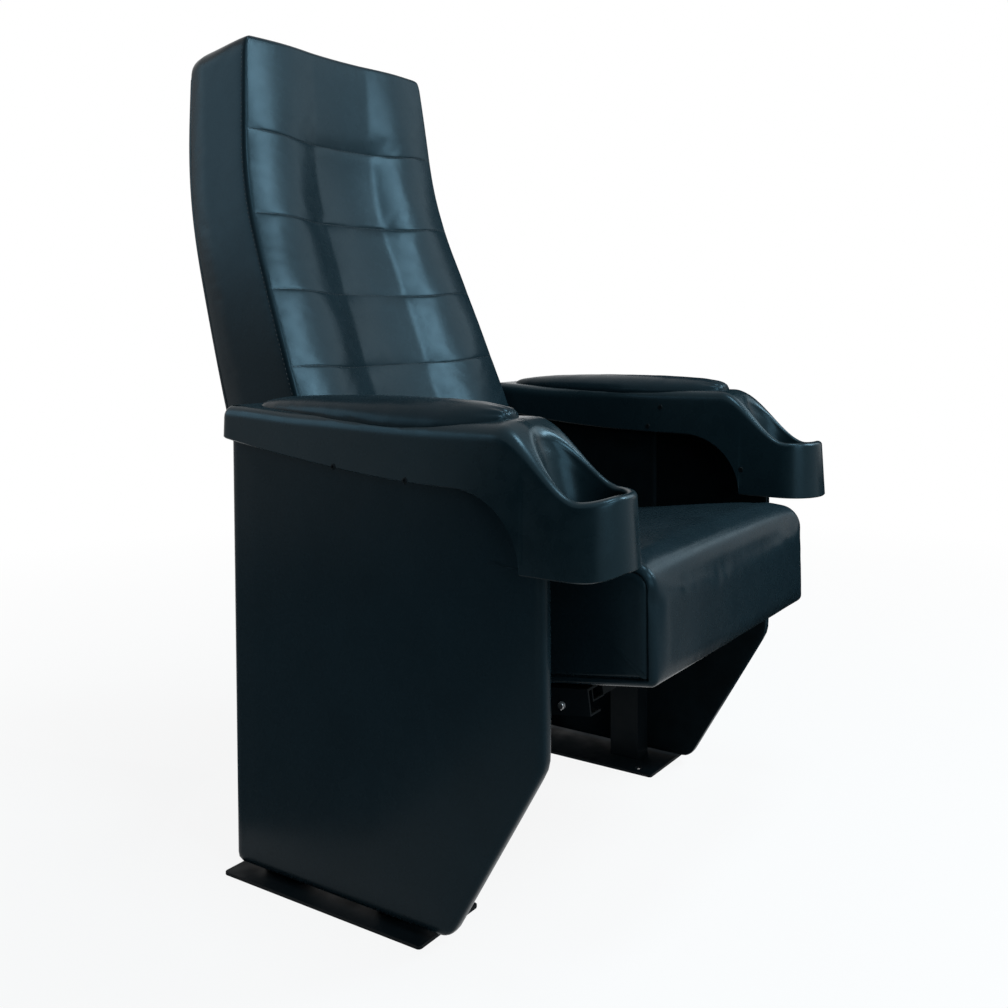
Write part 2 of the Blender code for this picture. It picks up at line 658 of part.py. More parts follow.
def arm_stations():
    """Plan points down one side of the arm, from the middle of its rear end round to the cup's nose."""
    stations = []
    for step in range(4):
        angle = pi / 2 * (1 - step / 3)
        normal = (cos(angle), sin(angle))
        stations.append((ARM_HALF_REAR + ARM_REAR_RADIUS * (normal[0] - 1),
                         ARM_REAR_Y + ARM_REAR_RADIUS * (normal[1] - 1), normal))
    straight = [mix(ARM_REAR_Y - ARM_REAR_RADIUS, ARCH_TOP_Y, step / 4) for step in range(1, 5)]
    sloped = [ARCH_TOP_Y - ARCH_LENGTH * sin(angle) for angle in arch_angles()[1:]]
    sloped += [mix(ARCH_FOOT_Y, CUP_Y, step / 4) for step in range(1, 4)]
    stations += [(arm_half_width(y), y, (1.0, 0.0)) for y in straight + sloped]
    for step in range(8):
        angle = pi / 2 * step / 7
        normal = (cos(angle), -sin(angle))
        stations.append((CUP_RADIUS_RIM * normal[0], CUP_Y + CUP_RADIUS_RIM * normal[1], normal))
    return stations


def mirrored_ring(half):
    return half + [Vector((-point.x, point.y, point.z)) for point in reversed(half)]


def pad_half_width(share):
    """Plan half width of the arm pad: blunt in front, drawn out to a point at the rear."""
    widest = PAD_FRONT_POWER / (PAD_FRONT_POWER + PAD_REAR_POWER)
    front = (share / widest) ** PAD_FRONT_POWER
    rear = ((1 - share) / (1 - widest)) ** PAD_REAR_POWER
    return PAD_HALF_WIDTH * front * rear


def pad_shares(count):
    return [(1 - cos(pi * step / count)) / 2 for step in range(count + 1)]


def pad_outline(spread):
    right = [(pad_half_width(share) + spread, mix(PAD_FRONT_Y, PAD_REAR_Y, share)) for share in pad_shares(12)]
    right[0] = (spread, PAD_FRONT_Y - spread)
    right[-1] = (spread, PAD_REAR_Y + spread)
    return right + [(-x, y) for x, y in reversed(right)]


def arm_cavity():
    """Hollow of the arm behind the cup, open below."""
    low = CUP_BOTTOM_Z - CUP_DEPTH
    front = cup_bore_rear(ARM_TOP_Z) + CUP_BACK_WALL
    rear = ARM_REAR_Y - ARM_WALL
    rings = []
    for step in range(7):
        y = mix(rear, front, step / 6)
        half = arm_half_width(y) - ARM_WALL
        rings.append([Vector((x, y, z)) for x, z in rectangle((-half, low), (half, CAVITY_TOP_Z))])
    return loft("arm_cavity", rings)


def cup_bore_half_length(z):
    """Half length of the cup's bore along the arm, which flares to the rear from its floor up."""
    rise = (z - CUP_BOTTOM_Z - CUP_FLOOR) / (ARM_TOP_Z - CUP_BOTTOM_Z - CUP_FLOOR)
    return CUP_BORE_FOOT_RADIUS + (CUP_RADIUS_RIM - CUP_WALL - CUP_BORE_FOOT_RADIUS + CUP_BORE_REACH / 2) * rise


def cup_bore_middle(z):
    rise = (z - CUP_BOTTOM_Z - CUP_FLOOR) / (ARM_TOP_Z - CUP_BOTTOM_Z - CUP_FLOOR)
    return CUP_Y + CUP_BORE_REACH / 2 * rise


def cup_bore_rear(z):
    return cup_bore_middle(z) + cup_bore_half_length(z)


def cup_bore():
    """Tapered bore of the cup, drawn out towards the rear at its mouth."""
    floor = CUP_BOTTOM_Z + CUP_FLOOR
    rings = []
    for step in range(3):
        z = mix(floor, ARM_TOP_Z + CUP_RIM_DROP, step / 2)
        half_width = mix(CUP_BORE_FOOT_RADIUS, CUP_RADIUS_RIM - CUP_WALL, min(step, 1))
        half_length = cup_bore_half_length(z)
        middle = cup_bore_middle(z)
        rings.append([Vector((half_width * u, middle + half_length * v, z)) for u, v in circle((0, 0), 1)])
    return loft("cup_bore", rings)


def arm_shells():
    rings = [mirrored_ring(arm_section(*station)) for station in arm_stations()]
    for side, sign in SIDES:
        shell = loft(f"arm_shell_{side}", rings)
        combine(shell, arm_cavity(), "DIFFERENCE")
        combine(shell, cup_bore(), "DIFFERENCE")
        recess = as_mesh(outline_curve("pad_recess", [pad_outline(PAD_CLEARANCE)], 2 * PAD_CROWN))
        recess.location.z = PAD_SEAT_Z + PAD_CROWN
        combine(shell, recess, "DIFFERENCE")
        finish(shell, PLASTIC, ROOT, (sign * ARM_X, 0, 0))


def arm_pads():
    """Crowned pads with full sides, flat where they rest on the arm."""
    foot = -asin(PAD_WIDEST / (1 - PAD_WIDEST))
    angles = [mix(foot, pi / 2, step / PAD_SECTION_STEPS) for step in range(PAD_SECTION_STEPS)]
    section = [(cos(angle), PAD_WIDEST + (1 - PAD_WIDEST) * sin(angle)) for angle in angles]
    rings = []
    for share in pad_shares(12):
        half = pad_half_width(share)
        crown = PAD_CROWN * (half / PAD_HALF_WIDTH) ** PAD_CROWN_POWER
        y = mix(PAD_FRONT_Y, PAD_REAR_Y, share)
        right = [Vector((half * u, y, crown * v)) for u, v in section]
        left = [Vector((-point.x, y, point.z)) for point in reversed(right)]
        rings.append(right + [Vector((0, y, crown))] + left)
    for side, sign in SIDES:
        pad = loft(f"arm_pad_{side}", rings)
        finish(pad, LEATHERETTE, ROOT, (sign * ARM_X, 0, PAD_SEAT_Z + GAP))


def cross_beams():
    half = BEAM_SIZE / 2
    outer = rectangle((-half, -half), (half, half))
    inner = rectangle((BEAM_WALL - half, BEAM_WALL - half), (half - BEAM_WALL, half - BEAM_WALL))
    length = 2 * (POST_INNER_X - FLANGE_THICKNESS - 2 * GAP)
    for end, y in (("front", FRONT_BEAM_Y), ("rear", REAR_BEAM_Y)):
        beam = outline_curve(f"{end}_beam", [outer, inner], length)
        if end == "rear":
            beam = as_mesh(beam)
            for sign in (1, -1):
                combine(beam, spring_lug(sign), "UNION")
        finish(beam, BLACK_STEEL, SLIDE, (0, y, BEAM_AXIS), FACING_SIDE)


def spring_lug(sign):
    """Upright lug on the rear beam that holds a spring, in the beam's own axes."""
    half = BEAM_SIZE / 2
    top = half + SEAT_TUBE_AXIS - BEAM_TOP + SPRING_LUG_WIDTH / 2
    low = (-SPRING_LUG_THICKNESS / 2, half - BEAM_WALL / 2, sign * SPRING_X - SPRING_LUG_WIDTH / 2)
    high = (SPRING_LUG_THICKNESS / 2, top, sign * SPRING_X + SPRING_LUG_WIDTH / 2)
    return box("spring_lug", low, high)


def beam_flanges():
    half = BEAM_SIZE / 2
    reach = half + 2 * FLANGE_MARGIN
    corners = [(-half, -reach, FLANGE_MARGIN / 2), (half, -reach, FLANGE_MARGIN / 2),
               (half, reach, FLANGE_MARGIN / 2), (-half, reach, FLANGE_MARGIN / 2)]
    holes = [circle((0, sign * (half + FLANGE_MARGIN)), FLANGE_HOLE_RADIUS, 12) for sign in (1, -1)]
    x = POST_INNER_X - GAP - FLANGE_THICKNESS / 2
    for end, y in (("front", FRONT_BEAM_Y), ("rear", REAR_BEAM_Y)):
        for side, sign in SIDES:
            flange = outline_curve(f"{end}_beam_flange_{side}", [rounded(corners), *holes], FLANGE_THICKNESS)
            finish(flange, BLACK_STEEL, SLIDE, (sign * x, y, BEAM_AXIS), FACING_SIDE)


def slide_rails():
    """Channels that open inward, on top of the two beams."""
    web = RAIL_OUTER_X
    lip = RAIL_OUTER_X - RAIL_FLANGE
    section = [(web, RAIL_BOTTOM), (web, RAIL_TOP), (lip, RAIL_TOP), (lip, RAIL_TOP - RAIL_WALL),
               (web - RAIL_WALL, RAIL_TOP - RAIL_WALL), (web - RAIL_WALL, RAIL_BOTTOM + RAIL_WALL),
               (lip, RAIL_BOTTOM + RAIL_WALL), (lip, RAIL_BOTTOM)]
    rear = REAR_BEAM_Y + BEAM_SIZE / 2 + RAIL_OVERHANG
    for side, sign in SIDES:
        rail = outline_curve(f"slide_rail_{side}", [[(sign * x, z) for x, z in section]], rear - RAIL_FRONT)
        finish(rail, BLACK_STEEL, SLIDE, (0, (rear + RAIL_FRONT) / 2, 0), (pi / 2, 0, 0))


def stop_buffers():
    """Rubber blocks in the rails, just behind the rear rollers at rest."""
    front = REAR_ROLLER_SETBACK + ROLLER_RADIUS + GAP
    low_x = RAIL_OUTER_X - RAIL_FLANGE + GAP
    high_x = RAIL_OUTER_X - RAIL_WALL - GAP
    for side, sign in SIDES:
        ends = sorted((sign * low_x, sign * high_x))
        low = (ends[0], front, RAIL_BOTTOM + RAIL_WALL + GAP)
        high = (ends[1], front + BUFFER_LENGTH, RAIL_TOP - RAIL_WALL - GAP)
        finish(box(f"stop_buffer_{side}", low, high), RUBBER, SLIDE)


def turned_ring(name, profile, steps=24):
    """Body turned round X from a closed (radius, x) profile."""
    shape = bmesh.new()
    verts = [shape.verts.new((x, radius, 0)) for radius, x in profile]
    for index in range(len(verts)):
        shape.edges.new((verts[index - 1], verts[index]))
    item = mesh_object(name, shape)
    turn = item.modifiers.new("turn", "SCREW")
    turn.axis = "X"
    turn.angle = 2 * pi
    turn.steps = steps
    turn.render_steps = steps
    turn.use_merge_vertices = True
    turn.merge_threshold = 0.00001
    return item


def pivot_supports():
    """Brackets on the rear posts with flanged bushes for the back's studs."""
    eye = BRACKET_EYE_RADIUS
    half_post = POST_DEPTH / 2
    corners = [(REAR_POST_Y - half_post, PIVOT_Z + eye, eye / 4),
               (REAR_POST_Y - half_post, PIVOT_Z + eye - BRACKET_HEIGHT, eye / 4),
               (REAR_POST_Y + half_post, PIVOT_Z + eye - BRACKET_HEIGHT, eye / 4),
               (PIVOT_Y + eye, PIVOT_Z - eye, eye * FULL_ROUND), (PIVOT_Y + eye, PIVOT_Z + eye, eye * FULL_ROUND)]
    bore = STUD_RADIUS + GAP
    body = bore + BUSH_WALL
    half = BRACKET_THICKNESS / 2
    for side, sign in SIDES:
        loops = [rounded(corners), circle((PIVOT_Y, PIVOT_Z), body + GAP)]
        bracket = outline_curve(f"pivot_bracket_{side}", loops, BRACKET_THICKNESS)
        finish(bracket, BLACK_STEEL, ROOT, (sign * BRACKET_X, 0, 0), FACING_SIDE)
        face = -sign * (half + GAP)
        outer_face = sign * half
        flange_face = -sign * (half + GAP + BUSH_FLANGE)
        profile = [(bore, outer_face), (body, outer_face), (body, face), (body + BUSH_FLANGE_WIDTH, face),
                   (body + BUSH_FLANGE_WIDTH, flange_face), (bore, flange_face)]
        bush = turned_ring(f"pivot_bush_{side}", profile if sign > 0 else profile[::-1])
        finish(bush, NYLON, ROOT, (sign * BRACKET_X, PIVOT_Y, PIVOT_Z))


def spring_points(sign):
    """Axis-led extension spring from the seat's rear cross tube to its lug on the rear beam."""
    start = CROSS_TUBE_REAR + SEAT_TUBE / 2 + GAP
    end = REAR_BEAM_Y - SPRING_LUG_THICKNESS / 2 - GAP
    lead = 2 * SPRING_WIRE
    count = SPRING_TURNS * 8
    points = [(sign * SPRING_X, start, SEAT_TUBE_AXIS)]
    for step in range(count + 1):
        share = step / count
        turns = share * SPRING_TURNS
        opening = blend(turns / 0.75) * blend((SPRING_TURNS - turns) / 0.75)
        angle = 2 * pi * turns
        points.append((sign * SPRING_X + SPRING_RADIUS * opening * cos(angle), mix(start + lead, end - lead, share),
                       SEAT_TUBE_AXIS + SPRING_RADIUS * opening * sin(angle)))
    points.append((sign * SPRING_X, end, SEAT_TUBE_AXIS))
    return points


def least_gap(points, diameter, apart):
    """Smallest clear distance between stretches of a tube that lie at least so many points apart."""
    least = min((Vector(points[a]) - Vector(points[b])).length
                for a in range(len(points)) for b in range(a + apart, len(points)))
    return least - diameter


def return_springs():
    for side, sign in SIDES:
        points = spring_points(sign)
        spring = path_tube(f"return_spring_{side}", points, SPRING_WIRE / 2, 1)
        finish(spring, ZINC, SLIDE)
        print(f"return_spring_{side}: least gap to itself {least_gap(points, SPRING_WIRE, 6) * 1000:.2f} mm")


def seat_section():
    """Side outline of the seat cushion in the slide frame, with an upright front face."""
    nose = -SEAT_THICKNESS * tan(SEAT_TILT)
    corners = [(SEAT_DEPTH, 0, SEAT_FOOT_RADIUS / 2), (SEAT_DEPTH, SEAT_THICKNESS, SEAT_FOOT_RADIUS),
               (nose, SEAT_THICKNESS, SEAT_NOSE_RADIUS), (0, 0, SEAT_FOOT_RADIUS)]
    return rounded(corners, steps=5)


def with_steps(outline, longest):
    """Outline with its long edges split, so that a crown can bend them."""
    refined = []
    for index, here in enumerate(outline):
        last = outline[index - 1]
        pieces = max(1, round(hypot(here[0] - last[0], here[1] - last[1]) / longest))
        refined += [(mix(last[0], here[0], step / pieces), mix(last[1], here[1], step / pieces))
                    for step in range(1, pieces + 1)]
    return refined


def seat_stations():
    """Sections across the seat as (share of the half width, draw-in), rounded over at both sides."""
    edge = SEAT_EDGE_RADIUS
    places = [(0.36, 0), (0.72, 0)]
    for step in range(SEAT_EDGE_STEPS + 1):
        angle = pi / 2 * step / SEAT_EDGE_STEPS
        places.append((1 - edge * (1 - sin(angle)) / (SEAT_WIDTH / 2), edge * (1 - cos(angle))))
    left = [(-share, inset) for share, inset in reversed(places)]
    return left + [(0, 0)] + places


def seat_rings():
    """Sections of the seat cushion, crowned on top and drawn in between the corners of its sides."""
    base = with_steps(seat_section(), SEAT_DEPTH / 6)
    centre_y = SEAT_DEPTH / 2
    centre_z = SEAT_THICKNESS / 2
    rings = []
    for share, inset in seat_stations():
        crown = SEAT_CROWN * (1 - share * share) ** 0.5
        ring = []
        for y, z in base:
            along = sin(pi * max(y, 0) / SEAT_DEPTH)
            rise = blend((z - centre_z) / centre_z)
            x = share * (SEAT_WIDTH / 2 - SEAT_SIDE_DRAW * along)
            drawn_y = centre_y + (y - centre_y) * (1 - inset / centre_y)
            drawn_z = centre_z + (z - centre_z) * (1 - inset / centre_z)
            ring.append(Vector((x, drawn_y, drawn_z + crown * rise * max(along, SEAT_CROWN_EDGE) ** 0.5)))
        rings.append(ring)
    return rings


def seat_pieces():
    half = SEAT_WIDTH / 2 - SEAT_BOARD_MARGIN
    low = (-half, SEAT_BOARD_MARGIN, 0)
    high = (half, SEAT_DEPTH - SEAT_BOARD_MARGIN, SEAT_BOARD_THICKNESS)
    cushion = loft("seat_cushion", seat_rings())
    recess = box("board_recess", [low[0] - GAP, low[1] - GAP, -SEAT_THICKNESS], [value + GAP for value in high])
    combine(cushion, recess, "DIFFERENCE")
    finish(cushion, LEATHERETTE, SEAT)
    finish(box("seat_board", low, high), PLYWOOD, SEAT)


def square_tube(name, length):
    half = SEAT_TUBE / 2
    outer = rectangle((-half, -half), (half, half))
    inner = rectangle((SEAT_TUBE_WALL - half, SEAT_TUBE_WALL - half), (half - SEAT_TUBE_WALL, half - SEAT_TUBE_WALL))
    return outline_curve(name, [outer, inner], length)


def roller_setbacks():
    return (("front", FRONT_ROLLER_SETBACK), ("rear", REAR_ROLLER_SETBACK))


def seat_frame():
    rear = PIVOT_SLIDE_Y - DRIVE_PIN_RADIUS - DRIVE_PLATE_MARGIN - SEAT_TUBE / 2
    length = rear - SEAT_RAIL_FRONT
    middle = (rear + SEAT_RAIL_FRONT) / 2
    for side, sign in SIDES:
        rail = as_mesh(square_tube(f"seat_rail_{side}", length))
        for end, setback in roller_setbacks():
            ends = sorted((sign * (SEAT_TUBE / 2 - SEAT_TUBE_WALL / 2),
                           sign * (ROLLER_X + ROLLER_WIDTH / 2 - SEAT_RAIL_X)))
            axle = rod(f"{end}_axle_{side}", AXLE_RADIUS, *ends, count=12)
            axle.location = (0, ROLLER_AXIS - SEAT_TUBE_AXIS, middle - setback)
            combine(rail, axle, "UNION")
        finish(rail, BLACK_STEEL, SEAT, (sign * SEAT_RAIL_X, middle, SEAT_TUBE_AXIS), (pi / 2, 0, 0))
    span = 2 * (SEAT_RAIL_X - SEAT_TUBE / 2 - GAP)
    for end, y in (("front", CROSS_TUBE_FRONT), ("rear", CROSS_TUBE_REAR)):
        tube = square_tube(f"seat_cross_tube_{end}", span)
        finish(tube, BLACK_STEEL, SEAT, (0, y, SEAT_TUBE_AXIS), FACING_SIDE)


def drive_brackets():
    """Plates at the rear of the seat rails, slotted for the drive pins of the levers."""
    slot = DRIVE_PIN_RADIUS + DRIVE_PIN_CLEARANCE
    margin = slot + DRIVE_PLATE_MARGIN
    low = SEAT_TUBE_AXIS - slot - DRIVE_PLATE_MARGIN / 2
    high = SEAT_TUBE_AXIS + PIN_LIFT + margin
    front = PIVOT_SLIDE_Y - margin - DRIVE_PLATE_LAP
    plate = rounded([(front, low, 0), (PIVOT_SLIDE_Y + margin, low, DRIVE_PLATE_MARGIN),
                     (PIVOT_SLIDE_Y + margin, high, DRIVE_PLATE_MARGIN),
                     (PIVOT_SLIDE_Y - margin, high, DRIVE_PLATE_MARGIN),
                     (PIVOT_SLIDE_Y - margin, SEAT_TUBE_TOP, 0), (front, SEAT_TUBE_TOP, 0)])
    end = slot * FULL_ROUND
    opening = rounded([(PIVOT_SLIDE_Y - slot, SEAT_TUBE_AXIS - slot, end),
                       (PIVOT_SLIDE_Y + slot, SEAT_TUBE_AXIS - slot, end),
                       (PIVOT_SLIDE_Y + slot, SEAT_TUBE_AXIS + PIN_LIFT + slot, end),
                       (PIVOT_SLIDE_Y - slot, SEAT_TUBE_AXIS + PIN_LIFT + slot, end)])
    for side, sign in SIDES:
        bracket = outline_curve(f"drive_bracket_{side}", [plate, opening], DRIVE_PLATE_THICKNESS)
        finish(bracket, BLACK_STEEL, SEAT, (sign * DRIVE_PLATE_X, 0, 0), FACING_SIDE)


def seat_rollers():
    bore = AXLE_RADIUS + GAP
    half = ROLLER_WIDTH / 2
    profile = [(bore, half), (ROLLER_RADIUS - ROLLER_CHAMFER, half), (ROLLER_RADIUS, half - ROLLER_CHAMFER),
               (ROLLER_RADIUS, ROLLER_CHAMFER - half), (ROLLER_RADIUS - ROLLER_CHAMFER, -half), (bore, -half)]
    for side, sign in SIDES:
        for end, setback in roller_setbacks():
            roller = turned_ring(f"{end}_roller_{side}", profile)
            finish(roller, NYLON, SEAT, (sign * ROLLER_X, setback, ROLLER_AXIS))


def back_levels():
    """Heights of the back's sections, with three close together at each sewn line."""
    stops = [BACK_BOTTOM_Z, *BACK_SEW_Z, BACK_TOP_Z - BACK_TOP_RADIUS]
    levels = [(BACK_BOTTOM_Z, 0.0)]
    for low, high in zip(stops, stops[1:]):
        levels += [(mix(low, high, share), 0.0) for share in (0.28, 0.72)]
        if high in BACK_SEW_Z:
            levels += [(high - BACK_SEW_WIDTH / 2, BACK_SEW_EASE), (high, 1.0),
                       (high + BACK_SEW_WIDTH / 2, BACK_SEW_EASE)]
    return levels


def back_front_offset(across, z):
    """How far the face lies behind the line of its edges: hollow in the middle, full at the bolsters."""
    fade = 1 - BACK_TOP_FLATTENING * blend((z - BACK_SEW_Z[-2]) / (BACK_TOP_Z - BACK_SEW_Z[-2]))
    hollow = BACK_CENTRE_DISH * (1 - blend(across / BACK_DISH_REACH))
    bolster = BACK_BOLSTER * sin(pi * max(across - BACK_BOLSTER_START, 0) / (1 - BACK_BOLSTER_START))
    return fade * (hollow - bolster)


def back_ring(z, sewn, inset=0.0, rear_inset=0.0):
    """One section of the solid back cushion, from the left of its face round to the rear."""
    half = back_half_width(z) - inset
    front = back_front(z) + inset
    rear = back_rear(z) - rear_inset
    fall = BACK_TOP_FALL * blend((z - BACK_COVER_TOP_Z) / (BACK_TOP_Z - BACK_COVER_TOP_Z))
    steps = 12
    ring = []
    for step in range(steps + 1):
        share = mix(-1, 1, step / steps)
        across = abs(share)
        flat = 1 - across ** 6
        sag = BACK_SEW_SAG * (1 - share * share) * blend((z - BACK_BOTTOM_Z) / BACK_SAG_FADE)
        sag *= blend((BACK_TOP_Z - z) / BACK_SAG_FADE)
        y = front + back_front_offset(across, z) + BACK_SEW_DEPTH * sewn * flat
        ring.append(Vector((share * half, y, z - sag)))
    tuck = half - BACK_REAR_TUCK
    side = [(half, 0.33), (half, 0.67), (tuck, 1.0)]
    ring += [Vector((x, mix(front, rear, share), z - fall * share)) for x, share in side]
    ring += [Vector((-x, mix(front, rear, share), z - fall * share)) for x, share in reversed(side)]
    return ring


def back_solid():
    rings = [back_ring(z, sewn) for z, sewn in back_levels()]
    for step in range(4):
        angle = pi / 2 * step / 3
        rounding = 1 - cos(angle)
        level = BACK_TOP_Z - BACK_TOP_RADIUS * (1 - sin(angle))
        rings.append(back_ring(level, 0.0, BACK_TOP_FRONT_RADIUS * rounding, BACK_TOP_RADIUS * rounding))
    return loft("back_cushion", rings)


def back_heights(low_z, high_z):
    """Heights between two ends, at the same stations for every piece that follows the back's bends."""
    bend_z = min(BACK_NARROWING_START_Z, BACK_FRONT_BEND_Z, BACK_REAR_BEND_Z)
    stations = [mix(bend_z, BACK_TOP_Z - BACK_TOP_WALL, step / 12) for step in range(13)]
    return [low_z, *(z for z in stations if low_z + GAP < z < high_z - 2 * GAP), high_z]


def back_slab(name, low_z, high_z, half_width, front, rear):
    """Curved slab whose half width and faces follow the back's height."""
    rings = []
    for z in back_heights(low_z, high_z):
        corners = rectangle((-half_width(z), front(z)), (half_width(z), rear(z)))
        rings.append([Vector((x, y, z)) for x, y in corners])
    return loft(name, rings)


def back_hollow():
    """Space in the back cushion for its board and frame, open below and behind."""
    return back_slab("back_hollow", BACK_BOTTOM_Z - BACK_TOP_WALL, BACK_TOP_Z - BACK_TOP_WALL,
                     lambda z: back_half_width(z) - BACK_SIDE_WALL,
                     lambda z: back_front(z) + BACK_FOAM,
                     lambda z: back_rear(z) + BACK_FOAM)


def back_cover_seat():
    """Rebate round the rear of the back cushion in which the cover lies."""
    return back_slab("back_cover_seat", BACK_BOTTOM_Z - BACK_TOP_WALL, BACK_COVER_TOP_Z + GAP,
                     lambda z: back_half_width(z) + BACK_SIDE_WALL,
                     lambda z: back_rear(z) - BACK_COVER_THICKNESS - GAP,
                     lambda z: back_rear(z) + BACK_FOAM)


def stud_passage():
    passage = rod("stud_passage", STUD_RADIUS + STUD_HOLE_CLEARANCE, -ARM_X, ARM_X)
    passage.location = (0, PIVOT_Y, PIVOT_Z)
    return passage


def on_back(item, material):
    """Places a piece drawn in the chair's frame on the back's pivot."""
    return finish(item, material, BACK, (0, -PIVOT_Y, -PIVOT_Z))


def back_pieces():
    cushion = back_solid()
    for cutter in (back_hollow(), back_cover_seat(), stud_passage()):
        combine(cushion, cutter, "DIFFERENCE")
    on_back(cushion, LEATHERETTE)
    cover = back_slab("back_cover", BACK_BOTTOM_Z, BACK_COVER_TOP_Z,
                      lambda z: back_half_width(z) - BACK_REAR_TUCK - BACK_COVER_INSET,
                      lambda z: back_rear(z) - BACK_COVER_THICKNESS, back_rear)
    on_back(cover, LEATHERETTE)
    board = back_slab("back_board", BACK_TUBE_BOTTOM_Z, BACK_TOP_Z - BACK_TOP_WALL - GAP,
                      lambda z: back_half_width(z) - BACK_SIDE_WALL - GAP,
                      lambda z: back_front(z) + BACK_FOAM + GAP,
                      lambda z: back_front(z) + BACK_FOAM + GAP + BACK_BOARD_THICKNESS)
    on_back(board, PLYWOOD)


def back_frame():
    heights = back_heights(BACK_TUBE_BOTTOM_Z, BACK_TUBE_TOP_Z)
    for side, sign in SIDES:
        points = [(sign * BACK_TUBE_X, back_tube_y(z), z) for z in heights]
        on_back(path_tube(f"back_tube_{side}", points, BACK_TUBE_RADIUS, 2), BLACK_STEEL)
    reach = BACK_TUBE_X - BACK_TUBE_RADIUS - GAP
    for end, z in (("lower", BACK_CROSS_LOWER_Z), ("upper", BACK_CROSS_UPPER_Z)):
        tube = rod(f"back_cross_tube_{end}", BACK_CROSS_RADIUS, -reach, reach, count=12)
        finish(tube, BLACK_STEEL, BACK, (0, back_tube_y(z) - PIVOT_Y, z - PIVOT_Z))


def recline_levers():
    """Levers square to the slide, with a stud at the pivot and a drive pin at the tip."""
    outline = eye_bar(LEVER_EYE_RADIUS, LEVER_TIP_RADIUS, LEVER_LENGTH)
    stud_end = BRACKET_X + BRACKET_THICKNESS / 2
    pin_end = DRIVE_PLATE_X + DRIVE_PLATE_THICKNESS / 2 + DRIVE_PIN_OVERHANG
    tip_y = -LEVER_LENGTH * sin(SEAT_TILT)
    tip_z = -LEVER_LENGTH * cos(SEAT_TILT)
    for side, sign in SIDES:
        lever = outline_curve(f"recline_lever_{side}", [outline], LEVER_THICKNESS)
        finish(lever, BLACK_STEEL, BACK, (sign * LEVER_X, 0, 0), (pi / 2, SEAT_TILT, pi / 2))
        stud = rod(f"pivot_stud_{side}", STUD_RADIUS, *sorted((sign * (LEVER_FACE_X + GAP), sign * stud_end)))
        finish(stud, ZINC, BACK)
        pin = rod(f"drive_pin_{side}", DRIVE_PIN_RADIUS, *sorted((sign * (LEVER_FACE_X + GAP), sign * pin_end)))
        finish(pin, ZINC, BACK, (0, tip_y, tip_z))


def print_joints():
    """Where the joints lie, for anyone who wants to move the chair."""
    bpy.context.view_layer.update()
    print("back pivot", tuple(round(value, 6) for value in BACK.matrix_world.translation))
    print("seat slides along", (0.0, round(-cos(SEAT_TILT), 6), round(sin(SEAT_TILT), 6)),
          "by", round(LEVER_LENGTH, 6), "m per radian of recline")
    for item in PARTS.objects:
        if "_roller_" in item.name:
            print(item.name, tuple(round(value, 6) for value in item.matrix_world.translation))


def main():
    floor_plates()
    posts()
    arm_rails()
    outer_panels()
    inner_panels()
    arm_shells()
    arm_pads()
    cross_beams()
    beam_flanges()
    slide_rails()
    stop_buffers()
    pivot_supports()
    return_springs()
    seat_pieces()
    seat_frame()
    drive_brackets()
    seat_rollers()
    back_pieces()
    back_frame()
    recline_levers()
    print_joints()


main()
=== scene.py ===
"""Looks of the push-back auditorium chair: covers, moulded arms, stitching, finishes, light and camera.

Metres, +Z up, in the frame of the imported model. The sitter faces -Y and has the left arm at +X.
Outlines are written in the chair's own y, and SHIFT_Y moves them to the frame.
"""

from math import asin, cos, exp, hypot, pi, radians, sin, tan

import bmesh
import bpy
from mathutils import Matrix, Vector, noise


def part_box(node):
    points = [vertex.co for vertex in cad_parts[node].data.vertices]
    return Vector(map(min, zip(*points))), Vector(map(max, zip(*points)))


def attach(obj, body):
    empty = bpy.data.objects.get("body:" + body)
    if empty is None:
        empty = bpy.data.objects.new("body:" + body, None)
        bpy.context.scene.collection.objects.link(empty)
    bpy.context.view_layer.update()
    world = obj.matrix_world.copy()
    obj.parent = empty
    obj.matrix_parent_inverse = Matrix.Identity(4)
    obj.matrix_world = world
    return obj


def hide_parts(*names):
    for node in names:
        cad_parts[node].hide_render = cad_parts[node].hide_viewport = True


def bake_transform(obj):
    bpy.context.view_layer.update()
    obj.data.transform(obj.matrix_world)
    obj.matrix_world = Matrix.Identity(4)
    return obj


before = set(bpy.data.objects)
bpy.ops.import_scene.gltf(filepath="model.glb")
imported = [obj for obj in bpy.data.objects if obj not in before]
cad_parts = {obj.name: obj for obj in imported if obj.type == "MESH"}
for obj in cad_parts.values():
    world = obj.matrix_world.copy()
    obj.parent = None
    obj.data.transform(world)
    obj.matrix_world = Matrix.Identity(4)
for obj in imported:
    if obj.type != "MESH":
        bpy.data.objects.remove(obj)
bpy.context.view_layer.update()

SIDES = (("left", 1), ("right", -1))
GAP = 0.0003
MERGE_DISTANCE = 0.00002
SLIVER = 0.00001
NOISE_LOW = 0.3
NOISE_HIGH = 0.7
EDGE_STEPS = (0, 0.12, 0.4, 1, 2)

# Camera of the photograph, with the image's own pixels
IMAGE_PIXELS = 1008
FOCAL_PIXELS = 1097.76
IMAGE_CENTRE = (589.285, 355.882)
SENSOR = 36.0
CAMERA_PLACE = (-1.244, -0.943, 0.704)
CAMERA_YAW = radians(58.289)
CAMERA_PITCH = radians(1.958)
CAMERA_ROLL = radians(-0.118)

